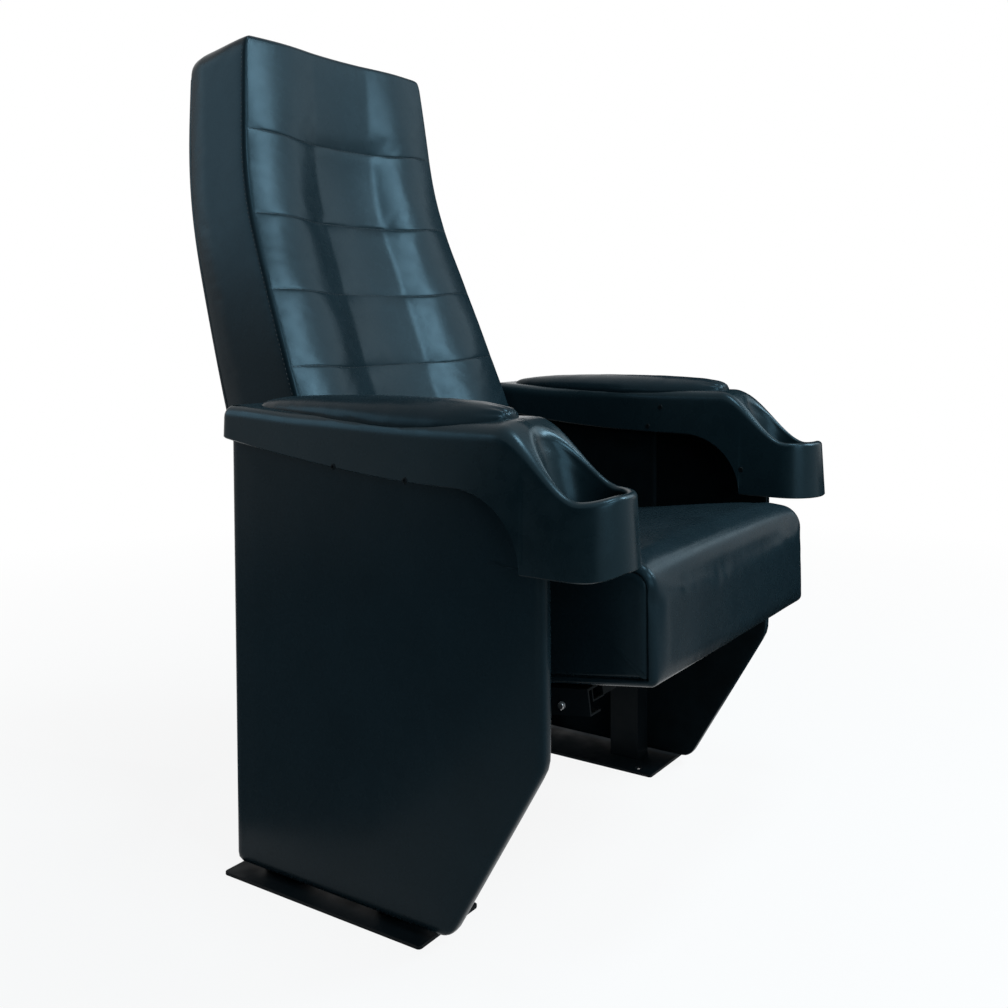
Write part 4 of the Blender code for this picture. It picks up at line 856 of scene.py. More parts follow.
def back_face_offset(across, z):
    """How far the face lies behind the line of its edges: hollow in the middle, full at the bolsters."""
    fade = 1 - BACK_TOP_FLATTENING * blend((z - BACK_SEW_Z[-2]) / (BACK_TOP_Z - BACK_SEW_Z[-2]))
    hollow = BACK_CENTRE_DISH * (1 - blend(across / BACK_DISH_REACH))
    bolster = BACK_BOLSTER * sin(pi * max(across - BACK_BOLSTER_START, 0) / (1 - BACK_BOLSTER_START))
    return fade * (hollow - bolster)


def sewn_depth(across, z):
    nearest = min(abs(z - line) for line in BACK_SEW_Z)
    return BACK_SEW_DEPTH * exp(-(nearest / BACK_SEW_WIDTH) ** 2) * (1 - across ** BACK_SEW_END_POWER)


def back_rows(top):
    """Heights of the back's rows, close together at each sewn line."""
    close = [line + step * BACK_SEW_WIDTH for line in BACK_SEW_Z for step in BACK_SEW_ROWS]
    count = round((top - BACK_BOTTOM_Z) / BACK_STEP)
    plain = [z for z in spread(BACK_BOTTOM_Z, top, count)
             if all(abs(z - line) > BACK_SEW_ROOM * BACK_SEW_WIDTH for line in BACK_SEW_Z)]
    return sorted(close + plain)


BACK_ACROSS = [step + BACK_COLUMN_EASE * (step - step ** 3) for step in spread(-1, 1, 55)]
BACK_DEPTHS = spread(0, 1, 17)[1:-1]


def back_ring(z, turn, top):
    """One section of the back cushion; turn runs from 0 on the walls to a right angle on its flat top."""
    rounding = 1 - cos(turn)

    def place(share, depth):
        radius = mix(BACK_TOP_FRONT_RADIUS, BACK_TOP_RADIUS, blend(depth))
        wall_top = BACK_TOP_Z - BACK_TOP_FALL * depth - radius
        height = mix(BACK_BOTTOM_Z, wall_top, (z - BACK_BOTTOM_Z) / (top - BACK_BOTTOM_Z))
        height += radius * sin(turn)
        corner = mix(BACK_TOP_CORNER, BACK_TOP_RADIUS, blend(depth))
        over = min(max(height - BACK_TOP_Z + BACK_TOP_FALL * depth + corner, 0), corner)
        half = back_half_width(height) - corner + (corner * corner - over * over) ** 0.5
        half -= BACK_REAR_TUCK * blend((depth - BACK_TUCK_START) / (1 - BACK_TUCK_START))
        front = back_front(height) + BACK_TOP_FRONT_RADIUS * rounding
        rear = back_rear(height) - BACK_TOP_RADIUS * rounding
        across = abs(share)
        face = back_face_offset(across, height) + sewn_depth(across, height)
        y = mix(front + face, rear, depth)
        level = height - back_sag(share, height) * (1 - depth)
        return (share * half, y, level)

    ring = [place(share, 0) for share in BACK_ACROSS]
    ring += [place(1, depth) for depth in BACK_DEPTHS]
    ring += [place(share, 1) for share in reversed(BACK_ACROSS)]
    ring += [place(-1, depth) for depth in reversed(BACK_DEPTHS)]
    return ring


def back_cap(ring):
    """Rows of points that close a ring of the back from its face to its rear."""
    wide = len(BACK_ACROSS)
    deep = len(BACK_DEPTHS)
    face = ring[:wide]
    right = ring[wide:wide + deep]
    rear = list(reversed(ring[wide + deep:2 * wide + deep]))
    left = list(reversed(ring[2 * wide + deep:]))
    rows = [face]
    for step in range(deep):
        depth = BACK_DEPTHS[step]
        row = [tuple(mix(low, high, depth) for low, high in zip(near, far)) for near, far in zip(face, rear)]
        row[0] = left[step]
        row[-1] = right[step]
        rows.append(row)
    rows.append(rear)
    return rows


def back_cushion():
    top = BACK_TOP_Z - BACK_TOP_FRONT_RADIUS
    rows = back_rows(top)
    rings = [back_ring(z, 0, top) for z in rows]
    rings += [back_ring(top, pi / 2 * step / 4, top) for step in range(1, 5)]
    points = flat(rings)
    faces = ring_faces(len(rings), len(rings[0]))
    for ring in (rings[0], rings[-1]):
        cap = back_cap(ring)
        faces += grid_faces(len(cap), len(cap[0]), len(points))
        points += flat(cap)
    piece = new_piece("back_cushion_cover", points, faces)
    wide = len(BACK_ACROSS)
    rear_start = wide + len(BACK_DEPTHS)
    fixed = []
    for z, ring in zip(rows + [top] * 4, rings):
        fixed += [ring[0], ring[wide - 1]] + ring[rear_start:rear_start + wide]
        sewn = any(abs(z - line) < BACK_SEW_HELD * BACK_SEW_WIDTH for line in BACK_SEW_Z)
        if sewn or z in (rows[0], rows[-1]):
            fixed += ring[:wide]
    swell(piece, held_points(piece, fixed), BACK_SWELL)
    wrinkle(piece, *BACK_WRINKLE, lambda place: 1.0 if place.z > BACK_BOTTOM_Z + BACK_WRINKLE_START else 0.0)
    subdivide(piece)
    cut(piece, back_block("back_hollow", BACK_TOP_Z - BACK_TOP_WALL,
                          lambda z: back_half_width(z) - BACK_SIDE_WALL,
                          lambda z: back_front(z) + BACK_FOAM))
    cut(piece, back_block("back_cover_seat", BACK_COVER_TOP_Z + GAP,
                          lambda z: back_half_width(z) + BACK_SIDE_WALL,
                          lambda z: back_rear(z) - BACK_COVER_THICKNESS - GAP))
    crease_shading(piece)
    dress(piece, "back", ["back_cushion"], LEATHERETTE)
    return piece


def back_block(name, high_z, half_width, front):
    """Cutter that follows the back's bends from below its foot up to a height, and out through its rear."""
    rings = []
    for z in spread(BACK_BOTTOM_Z - BACK_TOP_WALL, high_z, 24):
        half = half_width(z)
        rear = back_rear(z) + BACK_FOAM
        rings.append([(-half, front(z), z), (half, front(z), z), (half, rear, z), (-half, rear, z)])
    return lofted(name, rings)


def back_cover():
    """Padded rear cover, its edges rounded over."""
    edge = BACK_COVER_THICKNESS / 2
    insets = [edge * step for step in BACK_COVER_EDGE_STEPS]
    heights = [BACK_BOTTOM_Z + inset for inset in insets]
    heights += spread(BACK_BOTTOM_Z, BACK_COVER_TOP_Z, 70)[1:-1]
    heights += [BACK_COVER_TOP_Z - inset for inset in reversed(insets)]
    face = []
    rear = []
    for z in heights:
        half = back_half_width(z) - BACK_COVER_INSET
        near_end = min(z - BACK_BOTTOM_Z, BACK_COVER_TOP_Z - z)
        xs = edged(-half, half, insets, 42)
        face.append([(x, back_rear(z) - BACK_COVER_THICKNESS, z) for x in xs])
        rear_row = []
        for x in xs:
            over, drop = rounded_edge(half - abs(x), near_end, edge)
            soft = BACK_COVER_SOFTNESS * noise.noise(Vector((x * 9, z * 9, 3))) if over == 0 else 0
            rear_row.append((x, back_rear(z) - drop + soft, z))
        rear.append(rear_row)
    piece = two_sided("back_cover_panel", face, rear)
    crease_shading(piece)
    dress(piece, "back", ["back_cover"], LEATHERETTE)


# Stitching
def stitch_shape(centre, along, normal):
    """Points of one short sewn stitch, a thread that dips at both ends."""
    side = along.cross(normal).normalized()
    points = []
    for share, size, sink in STITCH_SECTIONS:
        middle = centre + along * (share * STITCH_LENGTH / 2) - normal * (sink * STITCH_RADIUS)
        for step in range(STITCH_SIDES):
            angle = 2 * pi * step / STITCH_SIDES
            points.append(middle + (side * cos(angle) + normal * sin(angle)) * (STITCH_RADIUS * size))
    return points


def stitch_row(cover, path):
    """Stitches along a path laid on a cover, as centre, direction and normal."""
    stitches = []
    walked = 0.0
    for here, after in zip(path, path[1:]):
        walked += (after - here).length
        if walked < STITCH_PITCH:
            continue
        walked = 0.0
        found, place, normal, face = cover.closest_point_on_mesh(here)
        if found:
            along = (after - here).normalized()
            along = (along - normal * along.dot(normal)).normalized()
            stitches.append((place + normal * (0.5 * STITCH_RADIUS), along, normal))
    return stitches


def stitching(name, body, cover, paths):
    stitch_faces = capped_faces(len(STITCH_SECTIONS), STITCH_SIDES)
    points = []
    faces = []
    for path in paths:
        for centre, along, normal in stitch_row(cover, path):
            faces += [tuple(len(points) + index for index in face) for face in stitch_faces]
            points += [in_chair(point) for point in stitch_shape(centre, along, normal)]
    piece = new_piece(name, points, faces)
    dress(piece, body, [], THREAD)


def back_stitching(cover):
    """Stitches along the sewn lines of the face and down both edge seams."""
    paths = []
    for line in BACK_SEW_Z:
        half = back_half_width(line)
        path = []
        for share in spread(-STITCH_LINE_REACH, STITCH_LINE_REACH, 420):
            y = back_front(line) + back_face_offset(abs(share), line) + sewn_depth(abs(share), line)
            path.append(in_frame((share * half, y, line - back_sag(share, line))))
        paths.append(path)
    heights = spread(BACK_BOTTOM_Z + STITCH_SEAM_FOOT, BACK_TOP_Z - STITCH_SEAM_TOP, 760)
    for side, sign in SIDES:
        paths.append([in_frame((sign * back_half_width(z), back_front(z) + STITCH_SEAM_SETBACK, z))
                      for z in heights])
    stitching("back_stitching", "back", cover, paths)


# Arms
def arch_z(y):
    """Lower edge of the arm skirt: a curved rise to the rear and an arch down to the cup's foot."""
    if y >= ARCH_TOP_Y:
        along = (y - ARCH_TOP_Y) / (ARM_REAR_Y - ARCH_TOP_Y)
        return mix(ARCH_TOP_Z, ARM_TOP_Z - ARM_SKIRT_REAR, along ** ARM_SKIRT_CURVE)
    if y <= ARCH_FOOT_Y:
        return CUP_BOTTOM_Z
    share = (ARCH_TOP_Y - y) / ARCH_LENGTH
    return CUP_BOTTOM_Z + (ARCH_TOP_Z - CUP_BOTTOM_Z) * (1 - share * share) ** 0.5


def arm_share(y):
    """How far along from the plain rear of the arm to the full width of the cup."""
    return blend((ARM_REAR_Y - y) / (ARM_REAR_Y - CUP_Y))


def arm_half_width(y):
    return mix(ARM_HALF_REAR, CUP_RADIUS_RIM, arm_share(y))


def arm_top_z(y):
    hump = ARM_TOP_Z + ARM_HUMP_RISE * (ARM_REAR_Y - max(y, ARM_HUMP_Y)) / (ARM_REAR_Y - ARM_HUMP_Y)
    lift = ARM_REAR_LIFT * blend((y - ARM_REAR_Y) / ARM_REAR_LIFT_LENGTH + 1)
    return hump + lift - CUP_RIM_DROP * blend((ARM_HUMP_Y - y) / CUP_SLOPE_LENGTH)


def arm_draft(y):
    return mix(ARM_SKIRT_DRAFT, CUP_RADIUS_FOOT - CUP_RADIUS_RIM, arm_share(y))


def arm_plan():
    """One half of the arm's plan as (x, y, normal), from the middle of its rear round to the cup's nose."""
    half = [(x, ARM_REAR_Y, (0, 1)) for x in spread(0, ARM_HALF_REAR - ARM_REAR_RADIUS, 5)[:-1]]
    for step in range(7):
        angle = pi / 2 * (1 - step / 6)
        half.append((ARM_HALF_REAR + ARM_REAR_RADIUS * (cos(angle) - 1),
                     ARM_REAR_Y + ARM_REAR_RADIUS * (sin(angle) - 1), (cos(angle), sin(angle))))
    places = spread(ARM_REAR_Y - ARM_REAR_RADIUS, ARCH_TOP_Y, 44)[1:]
    places += [ARCH_TOP_Y - ARCH_LENGTH * sin(pi / 2 * step / 22) for step in range(1, 23)]
    places += spread(ARCH_FOOT_Y, CUP_Y, 12)[1:-1]
    half += [(arm_half_width(y), y, (1, 0)) for y in places]
    for step in range(21):
        angle = pi / 2 * step / 20
        outward = (cos(angle), -sin(angle))
        half.append((CUP_RADIUS_RIM * outward[0], CUP_Y + CUP_RADIUS_RIM * outward[1], outward))
    return half


def cup_bore(turn, z):
    """Point on the wall of the cup's bore at a height; turn runs from 0 at the rear to pi in front."""
    rise = (z - CUP_FLOOR_Z) / (ARM_TOP_Z - CUP_FLOOR_Z)
    mouth = CUP_RADIUS_RIM - CUP_WALL
    half_width = mix(CUP_BORE_FOOT_RADIUS, mouth, min(rise * CUP_BORE_WIDENING, 1))
    half_length = CUP_BORE_FOOT_RADIUS + (mouth - CUP_BORE_FOOT_RADIUS + CUP_BORE_REACH / 2) * rise
    middle = CUP_Y + CUP_BORE_REACH / 2 * rise
    return Vector((half_width * sin(turn), middle + half_length * cos(turn)))


def cup_turns(plan):
    """Bearing on the bore that each plan point of the arm looks to."""
    walked = [0.0]
    for here, last in zip(plan[1:], plan):
        walked.append(walked[-1] + hypot(here[0] - last[0], here[1] - last[1]))
    side = next(index for index, place in enumerate(plan) if place[1] <= CUP_Y)
    length = walked[side]
    nose = walked[-1] - length
    turns = []
    for distance in walked:
        if distance > length:
            turns.append(pi / 2 * (1 + (distance - length) / nose))
        else:
            gone = (1 - exp((distance - length) / OPENING_SPREAD)) / (1 - exp(-length / OPENING_SPREAD))
            turns.append(pi / 2 * (1 - gone))
    return turns


def cup_mouth(turn):
    """Height and place of the bore's mouth, where the wall reaches the slope of the arm's top."""
    z = ARM_TOP_Z
    for attempt in range(12):
        z = arm_top_z(cup_bore(turn, z).y)
    return cup_bore(turn, z), z


def arm_column(x, y, normal, turn):
    """Points from the arm's lower edge up its wall, over the rim and down the cup to its floor."""
    plan = Vector((x, y))
    outward = Vector(normal)
    mouth, mouth_z = cup_mouth(turn)
    gap = plan - mouth
    room = gap.length
    across = gap.normalized()
    slope = blend((ARM_HUMP_Y - y) / CUP_SLOPE_LENGTH)
    edge = min(mix(ARM_EDGE_RADIUS, CUP_RIM_ROUND, slope), ARM_EDGE_SHARE * room)
    inner = min(CUP_SCOOP_ROUND, CUP_SCOOP_SHARE * room)
    draft = arm_draft(y)
    top = arm_top_z(y)
    foot = arch_z(y)
    wall = [plan + outward * (draft - ARM_FOOT_ROUND)]
    heights = [foot]
    for step in range(13):
        share = step / 12
        wall.append(plan + outward * (draft * (1 - share)))
        heights.append(mix(foot + ARM_FOOT_ROUND, top - edge, share))
    for step in range(1, 7):
        angle = pi / 2 * step / 6
        wall.append(plan + outward * (edge * (cos(angle) - 1)))
        heights.append(top - edge * (1 - sin(angle)))
    start = wall[-1]
    end = mouth + across * inner
    for step in range(1, 15):
        share = 1 - (1 - step / 14) ** ARM_TOP_SPACING
        wall.append(start.lerp(end, share))
        heights.append(arm_top_z(wall[-1].y))
    for step in range(1, 9):
        angle = pi / 2 * step / 8
        place = mouth + across * (inner * (1 - sin(angle)))
        wall.append(place)
        heights.append(arm_top_z(place.y) - inner * (1 - cos(angle)))
    low = heights[-1]
    for step in range(1, 13):
        z = mix(low, CUP_FLOOR_Z + CUP_FLOOR_ROUND, step / 12)
        wall.append(cup_bore(turn, z))
        heights.append(z)
    centre = Vector((0, CUP_Y))
    for share, lift in ((0.03, CUP_FLOOR_EASE), (0.10, 0), (0.45, 0), (0.8, 0)):
        wall.append(cup_bore(turn, CUP_FLOOR_Z).lerp(centre, share))
        heights.append(CUP_FLOOR_Z + lift)
    return [(place.x, place.y, z) for place, z in zip(wall, heights)]


def arm_body():
    """Closed shape of one arm about x = 0, before its hollow and the pad's recess are cut."""
    plan = arm_plan()
    half = [arm_column(*place, turn) for place, turn in zip(plan, cup_turns(plan))]
    columns = half + [[(-x, y, z) for x, y, z in column] for column in reversed(half[1:-1])]
    around = len(columns)
    rings = [[column[level] for column in columns] for level in range(len(half[0]))]
    points = flat(rings)
    faces = ring_faces(len(rings), around)
    faces.append(tuple(range(len(points) - around, len(points))))
    for step in range(len(half) - 1):
        strip = (step, step + 1, (around - step - 1) % around, (around - step) % around)
        faces.append(tuple(dict.fromkeys(strip)))
    return new_piece("arm_body", points, faces)


def arm_hollow():
    """Cutter for the hollow behind the cup, open below."""
    front = cup_bore(0, ARM_TOP_Z).y + CUP_BACK_WALL
    rings = []
    for y in spread(ARM_REAR_Y - ARM_WALL, front, 12):
        half = arm_half_width(y) - ARM_WALL
        low = CUP_BOTTOM_Z - CUP_DEPTH
        rings.append([(-half, y, low), (half, y, low), (half, y, CAVITY_TOP_Z), (-half, y, CAVITY_TOP_Z)])
    return lofted("arm_hollow", rings)


def pad_half_width(share):
    """Plan half width of the arm pad: blunt in front, drawn out to a point at the rear."""
    widest = PAD_FRONT_POWER / (PAD_FRONT_POWER + PAD_REAR_POWER)
    front = (share / widest) ** PAD_FRONT_POWER
    rear = ((1 - share) / (1 - widest)) ** PAD_REAR_POWER
    return PAD_HALF_WIDTH * front * rear


def pad_shares(count):
    return [(1 - cos(pi * step / count)) / 2 for step in range(count + 1)]


def pad_foot(across):
    """Height of the pad's underside, which wraps over the arm's rounded edges."""
    return PAD_SEAT_Z - PAD_WRAP * min(abs(across) / PAD_HALF_WIDTH, 1) ** 3


def pad_recess():
    """Cutter for the shallow seat of the pad in the arm's top."""
    rings = []
    for share in pad_shares(40):
        half = pad_half_width(share) + PAD_CLEARANCE
        y = mix(PAD_FRONT_Y - PAD_CLEARANCE, PAD_REAR_Y + PAD_CLEARANCE, share)
        ring = [(x, y, pad_foot(x)) for x in spread(-half, half, 15)]
        rings.append(ring + [(x, y, PAD_SEAT_Z + PAD_CROWN) for x in (half, -half)])
    return lofted("pad_recess", rings)


def arm_roll(outward, y):
    """How far the arm hangs lower on its outer side; outward is the distance from the arm's middle."""
    along = blend((ARM_ROLL_START_Y - y) / ARM_ROLL_LENGTH)
    across = (outward - ARM_ROLL_START_X) / (CUP_RADIUS_FOOT - ARM_ROLL_START_X)
    return ARM_ROLL_DROP * along * blend(across)


def arm_shells():
    body = arm_body()
    cut(body, arm_hollow())
    cut(body, pad_recess())
    shells = []
    for side, sign in SIDES:
        shell = body.copy()
        shell.data = body.data.copy()
        shell.name = f"arm_shell_moulding_{side}"
        for point in shell.data.vertices:
            point.co.z -= arm_roll(sign * point.co.x, point.co.y - SHIFT_Y)
        shell.data.transform(Matrix.Translation((sign * ARM_X, 0, 0)))
        bpy.context.scene.collection.objects.link(shell)
        crease_shading(shell)
        dress(shell, "base", [f"arm_shell_{side}"], PLASTIC)
        shells.append(shell)
    bpy.data.objects.remove(body, do_unlink=True)
    return shells


def arm_pads():
    """Crowned pads with full sides, gathered at the front tip."""
    foot = -asin(PAD_WIDEST / (1 - PAD_WIDEST))
    angles = spread(foot, pi - foot, 33)
    section = [(cos(angle), PAD_WIDEST + (1 - PAD_WIDEST) * sin(angle)) for angle in angles]
    section += [(u, 0) for u in spread(section[-1][0], section[0][0], 12)[1:-1]]
    for side, sign in SIDES:
        points = []
        fixed = []
        for share in pad_shares(PAD_ROWS):
            half = pad_half_width(share)
            crown = PAD_CROWN * (half / PAD_HALF_WIDTH) ** PAD_CROWN_POWER
            y = mix(PAD_FRONT_Y, PAD_REAR_Y, share)
            gather = PAD_GATHER * blend(1 - share / PAD_GATHER_END) * blend(share / PAD_GATHER_START)
            for number, (u, v) in enumerate(section):
                lift = gather * sin(number * PAD_GATHER_PITCH) * v
                across = half * u * (1 + PAD_GATHER_SPREAD * lift)
                height = pad_foot(across) + GAP + crown * v + lift - arm_roll(across, y)
                points.append((sign * (ARM_X + across), y, height))
                if v < PAD_HELD_SHARE:
                    fixed.append(points[-1])
        piece = new_piece(f"arm_pad_cover_{side}", points, ring_faces(PAD_ROWS + 1, len(section)))
        swell(piece, held_points(piece, fixed), PAD_SWELL)
        wrinkle(piece, *PAD_WRINKLE)
        subdivide(piece)
        crease_shading(piece, 60)
        dress(piece, "base", [f"arm_pad_{side}"], LEATHERETTE)


# Side panels
PANEL_LIP_Z = CUP_BOTTOM_Z - PANEL_ARCH_CLEARANCE - ARM_ROLL_DROP / 2


def panel_front(z):
    """Front edge of the outer panel: slanted foot, upright front, then round under the arm."""
    slant = mix(PANEL_SLANT_FOOT_Y, PANEL_FRONT_Y,
                (z - PANEL_BOTTOM_Z) / (PANEL_SLANT_TOP_Z - PANEL_BOTTOM_Z))
    below = (slant + PANEL_FRONT_Y + hypot(slant - PANEL_FRONT_Y, PANEL_SLANT_SOFTNESS)) / 2
    if z <= PANEL_LIP_Z:
        return below
    length = ARCH_LENGTH - PANEL_ARCH_CLEARANCE
    height = ARCH_TOP_Z - CUP_BOTTOM_Z - PANEL_ARCH_CLEARANCE
    rise = min(max((z - CUP_BOTTOM_Z) / height, 0), 1)
    return ARCH_TOP_Y - length * (1 - rise * rise) ** 0.5


def padded_board(name, heights, front, rear, middle_x, thickness, edge, puff, corner):
    """Board in a padded cover: its edges rounded over, its faces a little full and not dead flat."""
    low_z = heights[0]
    high_z = heights[-1]
    faces = {1: [], -1: []}
    for z in heights:
        near_end = min(z - low_z, high_z - z)
        draw = corner - max(corner * corner - max(corner - (z - low_z), 0) ** 2, 0) ** 0.5
        low_y = front(z) + draw
        high_y = rear - draw
        ys = edged(low_y, high_y, [edge * step for step in EDGE_STEPS], 34)
        for face, rows in faces.items():
            row = []
            for y in ys:
                near_side = min(y - low_y, high_y - y)
                over, drop = rounded_edge(near_side, near_end, edge)
                full = puff * blend(min(near_side, near_end) / (8 * edge))
                soft = PANEL_SOFTNESS * puff * noise.noise(Vector((y * 11, z * 7, middle_x * 31 + face)))
                x = middle_x + face * (thickness / 2 - drop + (full + soft if over == 0 else 0))
                row.append((x, y, z))
            rows.append(row)
    piece = two_sided(name, faces[1], faces[-1])
    crease_shading(piece, 60)
    return piece


def board_heights(low, high, edge, extra=()):
    return sorted(set(edged(low, high, [edge * step for step in EDGE_STEPS], 56)) | set(extra))


def side_panels():
    steps = [PANEL_LIP_Z + step for step in PANEL_LIP_STEPS] + [CUP_BOTTOM_Z]
    heights = board_heights(PANEL_BOTTOM_Z, PANEL_TOP_Z, OUTER_PANEL_EDGE, steps)
    inner_heights = board_heights(INNER_PANEL_BOTTOM_Z, PANEL_TOP_Z, INNER_PANEL_EDGE)
    for side, sign in SIDES:
        panel = padded_board(f"outer_panel_cover_{side}", heights, panel_front, PANEL_REAR_Y,
                             sign * OUTER_PANEL_X, OUTER_PANEL_THICKNESS, OUTER_PANEL_EDGE,
                             PANEL_PUFF, PANEL_CORNER)
        dress(panel, "base", [f"outer_panel_{side}"], LEATHERETTE)
        # The outer panel's inward faces and the whole inner panel take the dark matte finish: painted shade
        # between the panels
        panel.data.materials.append(PAINTED_SHADE_LINING)
        for face in panel.data.polygons:
            face.material_index = 1 if sign * face.normal.x < -0.5 else 0
        inner = padded_board(f"inner_panel_cover_{side}", inner_heights, lambda z: INNER_PANEL_FRONT_Y,
                             INNER_PANEL_REAR_Y, sign * INNER_PANEL_X, INNER_PANEL_THICKNESS,
                             INNER_PANEL_EDGE, 0.0, INNER_PANEL_EDGE)
        dress(inner, "base", [f"inner_panel_{side}"], PAINTED_SHADE_LINING)


# Return springs
def spring_path(sign):
    """Points of one coil from the rear beam to the seat, drawn in to its axis at both ends."""
    lead = 2 * SPRING_WIRE
    path = [(sign * SPRING_X, SPRING_REAR, SPRING_AXIS)]
    for share in spread(0, 1, SPRING_TURNS * 20 + 1):
        turns = share * SPRING_TURNS
        radius = SPRING_RADIUS * blend(min(turns, SPRING_TURNS - turns) / SPRING_END_TURNS)
        angle = 2 * pi * turns
        along = mix(SPRING_REAR - lead, SPRING_FRONT + lead, share)
        path.append((sign * SPRING_X + radius * cos(angle), along, SPRING_AXIS - radius * sin(angle)))
    path.append((sign * SPRING_X, SPRING_FRONT, SPRING_AXIS))
    return [Vector(slide_to_chair(*point)) for point in path]


def wire_rings(path, radius, sides=8):
    """Rings of points round a path, each turned on from the one before."""
    angles = [2 * pi * step / sides for step in range(sides)]
    rings = []
    across = Vector((0, 0, 1))
    for index, here in enumerate(path):
        along = (path[min(index + 1, len(path) - 1)] - path[max(index - 1, 0)]).normalized()
        across = (across - along * across.dot(along)).normalized()
        over = along.cross(across)
        rings.append([here + (across * cos(angle) + over * sin(angle)) * radius for angle in angles])
    return rings


def return_springs():
    """Coils between the fixed rear beam and the seat."""
    for side, sign in SIDES:
        path = spring_path(sign)
        spring = lofted(f"return_spring_coil_{side}", wire_rings(path, SPRING_WIRE / 2))
        crease_shading(spring, 60)
        spring.data.materials.append(ZINC)
        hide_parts(f"return_spring_{side}")
        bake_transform(spring)


# Fasteners
def hexagon(angle):
    """Reach of a hexagon whose flats lie at a distance of one."""
    return 1 / cos((angle + pi / 6) % (pi / 3) - pi / 6)


def bolt_profile(size):
    """Washer and hexagon head as (reach, six-sided, height) from the seat up, at a share of full size."""
    washer = WASHER_RADIUS * size
    seat = WASHER_THICKNESS * size
    flats = BOLT_FLATS / 2 * size
    top = seat + BOLT_HEAD * size
    return [(washer, False, 0), (washer, False, seat), (flats, True, seat),
            (flats, True, top - BOLT_CHAMFER * size), (flats * 0.95, False, top), (flats * 0.3, False, top)]


def screw_profile():
    """Low domed head with a hexagon socket, in the same form."""
    return [(SCREW_RADIUS, False, 0), (SCREW_RADIUS, False, 0.35 * SCREW_HEAD),
            (0.85 * SCREW_RADIUS, False, 0.85 * SCREW_HEAD), (0.6 * SCREW_RADIUS, False, SCREW_HEAD),
            (SCREW_SOCKET, True, SCREW_HEAD), (SCREW_SOCKET, True, 0.3 * SCREW_HEAD)]


def fasteners(name, profile, seats, slot, sides=24):
    """One piece of separate heads, each seated at a place and facing outward from it."""
    head_faces = capped_faces(len(profile), sides)
    points = []
    faces = []
    for place, outward in seats:
        across = outward.orthogonal().normalized()
        over = outward.cross(across)
        faces += [tuple(len(points) + index for index in face) for face in head_faces]
        for reach, six_sided, height in profile:
            for step in range(sides):
                angle = 2 * pi * step / sides
                spoke = (across * cos(angle) + over * sin(angle)) * (hexagon(angle) if six_sided else 1)
                points.append(place + spoke * reach + outward * height)
    piece = new_piece(name, points, faces)
    crease_shading(piece, 30)
    dress(piece, "base", [], SLOT_FINISHES[slot])


def node_middle(name):
    low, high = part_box(name)
    return in_chair([(a + b) / 2 for a, b in zip(low, high)])


def beam_bolts():
    """Two bolts through each beam flange, and one through the outer web of each slide rail."""
    upright = Vector((0, sin(SEAT_TILT), cos(SEAT_TILT)))
    seats = []
    rail_seats = []
    for side, sign in SIDES:
        inward = Vector((-sign, 0, 0))
        for end in ("front", "rear"):
            flange = f"{end}_beam_flange_{side}"
            middle = node_middle(flange)
            low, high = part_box(flange)
            middle.x = min(abs(low[0]), abs(high[0])) * sign
            seats += [(middle + upright * (up * BOLT_SPACING / 2) + inward * GAP, inward) for up in (-1, 1)]
        low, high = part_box(f"slide_rail_{side}")
        web = max(abs(low[0]), abs(high[0])) + GAP
        rail_seats.append((Vector((sign * web, RAIL_BOLT_Y, RAIL_BOLT_Z)), -inward))
    fasteners("beam_bolts", bolt_profile(1), seats, "zinc_steel")
    fasteners("rail_bolts", bolt_profile(RAIL_BOLT_SIZE), rail_seats, "zinc_steel")


def arm_screws(shells):
    """Screws that hold each arm moulding to its rail, set on the surface of the moulding."""
    seats = []
    for (side, sign), shell in zip(SIDES, shells):
        for face, spots in ((1, ARM_SCREWS_OUTER), (-1, ARM_SCREWS_INNER)):
            for y, z in spots:
                start = in_frame((sign * (ARM_X + face * ARM_HALF_REAR * ARM_SCREW_REACH), y, z))
                found, place, normal, index = shell.closest_point_on_mesh(start)
                seats.append((in_chair(place) - normal * GAP, normal))
    fasteners("arm_screws", screw_profile(), seats, "black_steel")


# CAD pieces that keep their shape
def finish_nodes():
    """Gives each CAD node the finish of its material slot."""
    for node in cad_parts.values():
        for slot in node.material_slots:
            slot.material = SLOT_FINISHES[slot.material.name.split(".")[0]]


# Stage
def add_camera():
    data = bpy.data.cameras.new("photo_camera")
    data.sensor_width = SENSOR
    data.lens = SENSOR * FOCAL_PIXELS / IMAGE_PIXELS
    data.shift_x = 0.5 - IMAGE_CENTRE[0] / IMAGE_PIXELS
    data.shift_y = IMAGE_CENTRE[1] / IMAGE_PIXELS - 0.5
    ahead = Vector((sin(CAMERA_YAW) * cos(CAMERA_PITCH), cos(CAMERA_YAW) * cos(CAMERA_PITCH),
                    -sin(CAMERA_PITCH)))
    level = Vector((cos(CAMERA_YAW), -sin(CAMERA_YAW), 0))
    upright = level.cross(ahead)
    right = level * cos(CAMERA_ROLL) + upright * sin(CAMERA_ROLL)
    up = upright * cos(CAMERA_ROLL) - level * sin(CAMERA_ROLL)
    camera = add_object("photo_camera", data)
    turned = Matrix((right, up, -ahead)).transposed().to_4x4()
    camera.matrix_world = Matrix.Translation(in_frame(CAMERA_PLACE)) @ turned
    bpy.context.scene.camera = camera


def seen_directly(tree):
    """One for what the camera sees, straight, mirrored or through glass, and zero for scattered light."""
    path = tree.nodes.new("ShaderNodeLightPath")
    value = path.outputs["Is Camera Ray"]
    for name in ("Is Glossy Ray", "Is Transmission Ray"):
        larger = tree.nodes.new("ShaderNodeMath")
        larger.operation = "MAXIMUM"
        tree.links.new(value, larger.inputs[0])
        tree.links.new(path.outputs[name], larger.inputs[1])
        value = larger.outputs[0]
    return value


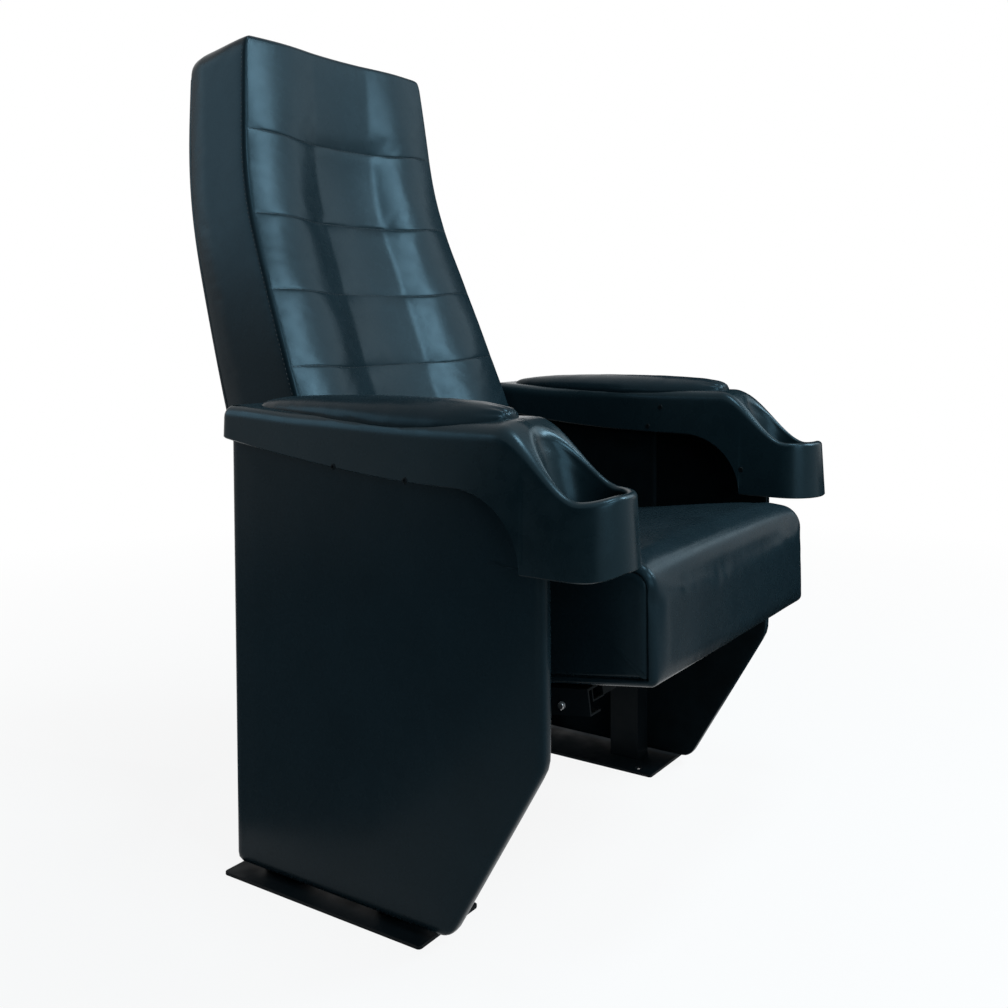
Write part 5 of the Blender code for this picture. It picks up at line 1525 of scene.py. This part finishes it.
def send_mix(tree, share, low, high, output):
    """Sends a mix of two shaders to an output: the first where the share is 0, the second where it is 1."""
    chosen = tree.nodes.new("ShaderNodeMixShader")
    for source, target in zip((share, low, high), chosen.inputs):
        tree.links.new(source, target)
    tree.links.new(chosen.outputs[0], tree.nodes[output].inputs["Surface"])


def add_world():
    """White to the camera and to gloss, and a dim light for all else."""
    world = bpy.data.worlds.new("studio")
    bpy.context.scene.world = world
    world.use_nodes = True
    tree = world.node_tree
    ambient = tree.nodes["Background"]
    white = tree.nodes.new("ShaderNodeBackground")
    for background, strength in ((ambient, AMBIENT), (white, 1.0)):
        background.inputs["Color"].default_value = (1, 1, 1, 1)
        background.inputs["Strength"].default_value = strength
    send_mix(tree, seen_directly(tree), ambient.outputs[0], white.outputs[0], "World Output")


def add_floor():
    """Pale floor that takes the chair's shadow and fades into the white background."""
    angles = [2 * pi * step / FLOOR_STEPS for step in range(FLOOR_STEPS)]
    rings = [[(size * cos(angle), size * sin(angle), 0) for angle in angles] for size in FLOOR_RINGS]
    faces = ring_faces(len(rings), FLOOR_STEPS) + [tuple(range(FLOOR_STEPS))]
    floor = new_piece("pale_floor", flat(rings), faces)
    floor.location.z = -GAP
    finish = Finish("pale_floor", FLOOR_COLOUR, 0.9, specular=0.1)
    finish.vary_colour(finish.noise(3, 3), 0.01)
    tree = finish.tree
    white = tree.nodes.new("ShaderNodeEmission")
    distance = tree.nodes.new("ShaderNodeVectorMath")
    distance.operation = "LENGTH"
    finish.link(finish.place, distance.inputs[0])
    fade = finish.node("ShaderNodeMapRange", From_Min=FLOOR_FADE_START, From_Max=FLOOR_FADE_END,
                       To_Min=FLOOR_WHITE, To_Max=1.0)
    finish.link(distance.outputs["Value"], fade.inputs["Value"])
    share = tree.nodes.new("ShaderNodeMath")
    share.operation = "MULTIPLY"
    finish.link(fade.outputs["Result"], share.inputs[0])
    finish.link(seen_directly(tree), share.inputs[1])
    send_mix(tree, share.outputs[0], finish.shader.outputs[0], white.outputs[0], "Material Output")
    floor.data.materials.append(finish.material)


def bearing(azimuth, elevation):
    """Direction from the chair, with azimuth 0 straight ahead of the sitter and growing to their left."""
    level = cos(radians(elevation))
    return Vector((sin(radians(azimuth)) * level, -cos(radians(azimuth)) * level, sin(radians(elevation))))


def add_softbox(name, azimuth, elevation, size, radiance, colour):
    """Rectangular lamp that looks at the chair's middle, with its brightness given per unit of its face."""
    data = bpy.data.lights.new(name, "AREA")
    data.shape = "RECTANGLE"
    data.size, data.size_y = size
    data.color = colour
    data.energy = radiance * pi * size[0] * size[1]
    lamp = add_object(name, data)
    toward = bearing(azimuth, elevation)
    lamp.location = Vector(LIT_POINT) + toward * LAMP_DISTANCE
    lamp.rotation_euler = (-toward).to_track_quat("-Z", "Y").to_euler()


def add_card(name, azimuths, grey, profile):
    """Card curved round the chair through (distance, height) places, which only keeps the gloss deep."""
    points = []
    for distance, height in profile:
        lifted = Vector((0, 0, height))
        points += [distance * bearing(azimuth, 0) + lifted for azimuth in spread(*azimuths, CARD_COLUMNS)]
    card = new_piece(name, points, grid_faces(len(profile), CARD_COLUMNS))
    finish = Finish(name, (grey, grey, grey), 0.9, specular=0.0)
    finish.vary_colour(finish.noise(3, 2), 0.1)
    card.data.materials.append(finish.material)
    for ray in ("camera", "diffuse", "transmission", "shadow"):
        setattr(card, f"visible_{ray}", False)


add_camera()
finish_nodes()
seat_cushion()
back_cushion_cover = back_cushion()
back_cover()
back_stitching(back_cushion_cover)
arm_mouldings = arm_shells()
arm_pads()
side_panels()
return_springs()
beam_bolts()
arm_screws(arm_mouldings)
add_world()
add_floor()
for softbox in SOFTBOXES:
    add_softbox(*softbox)
for card in CARDS:
    add_card(*card)
bpy.context.scene.view_settings.view_transform = "Standard"
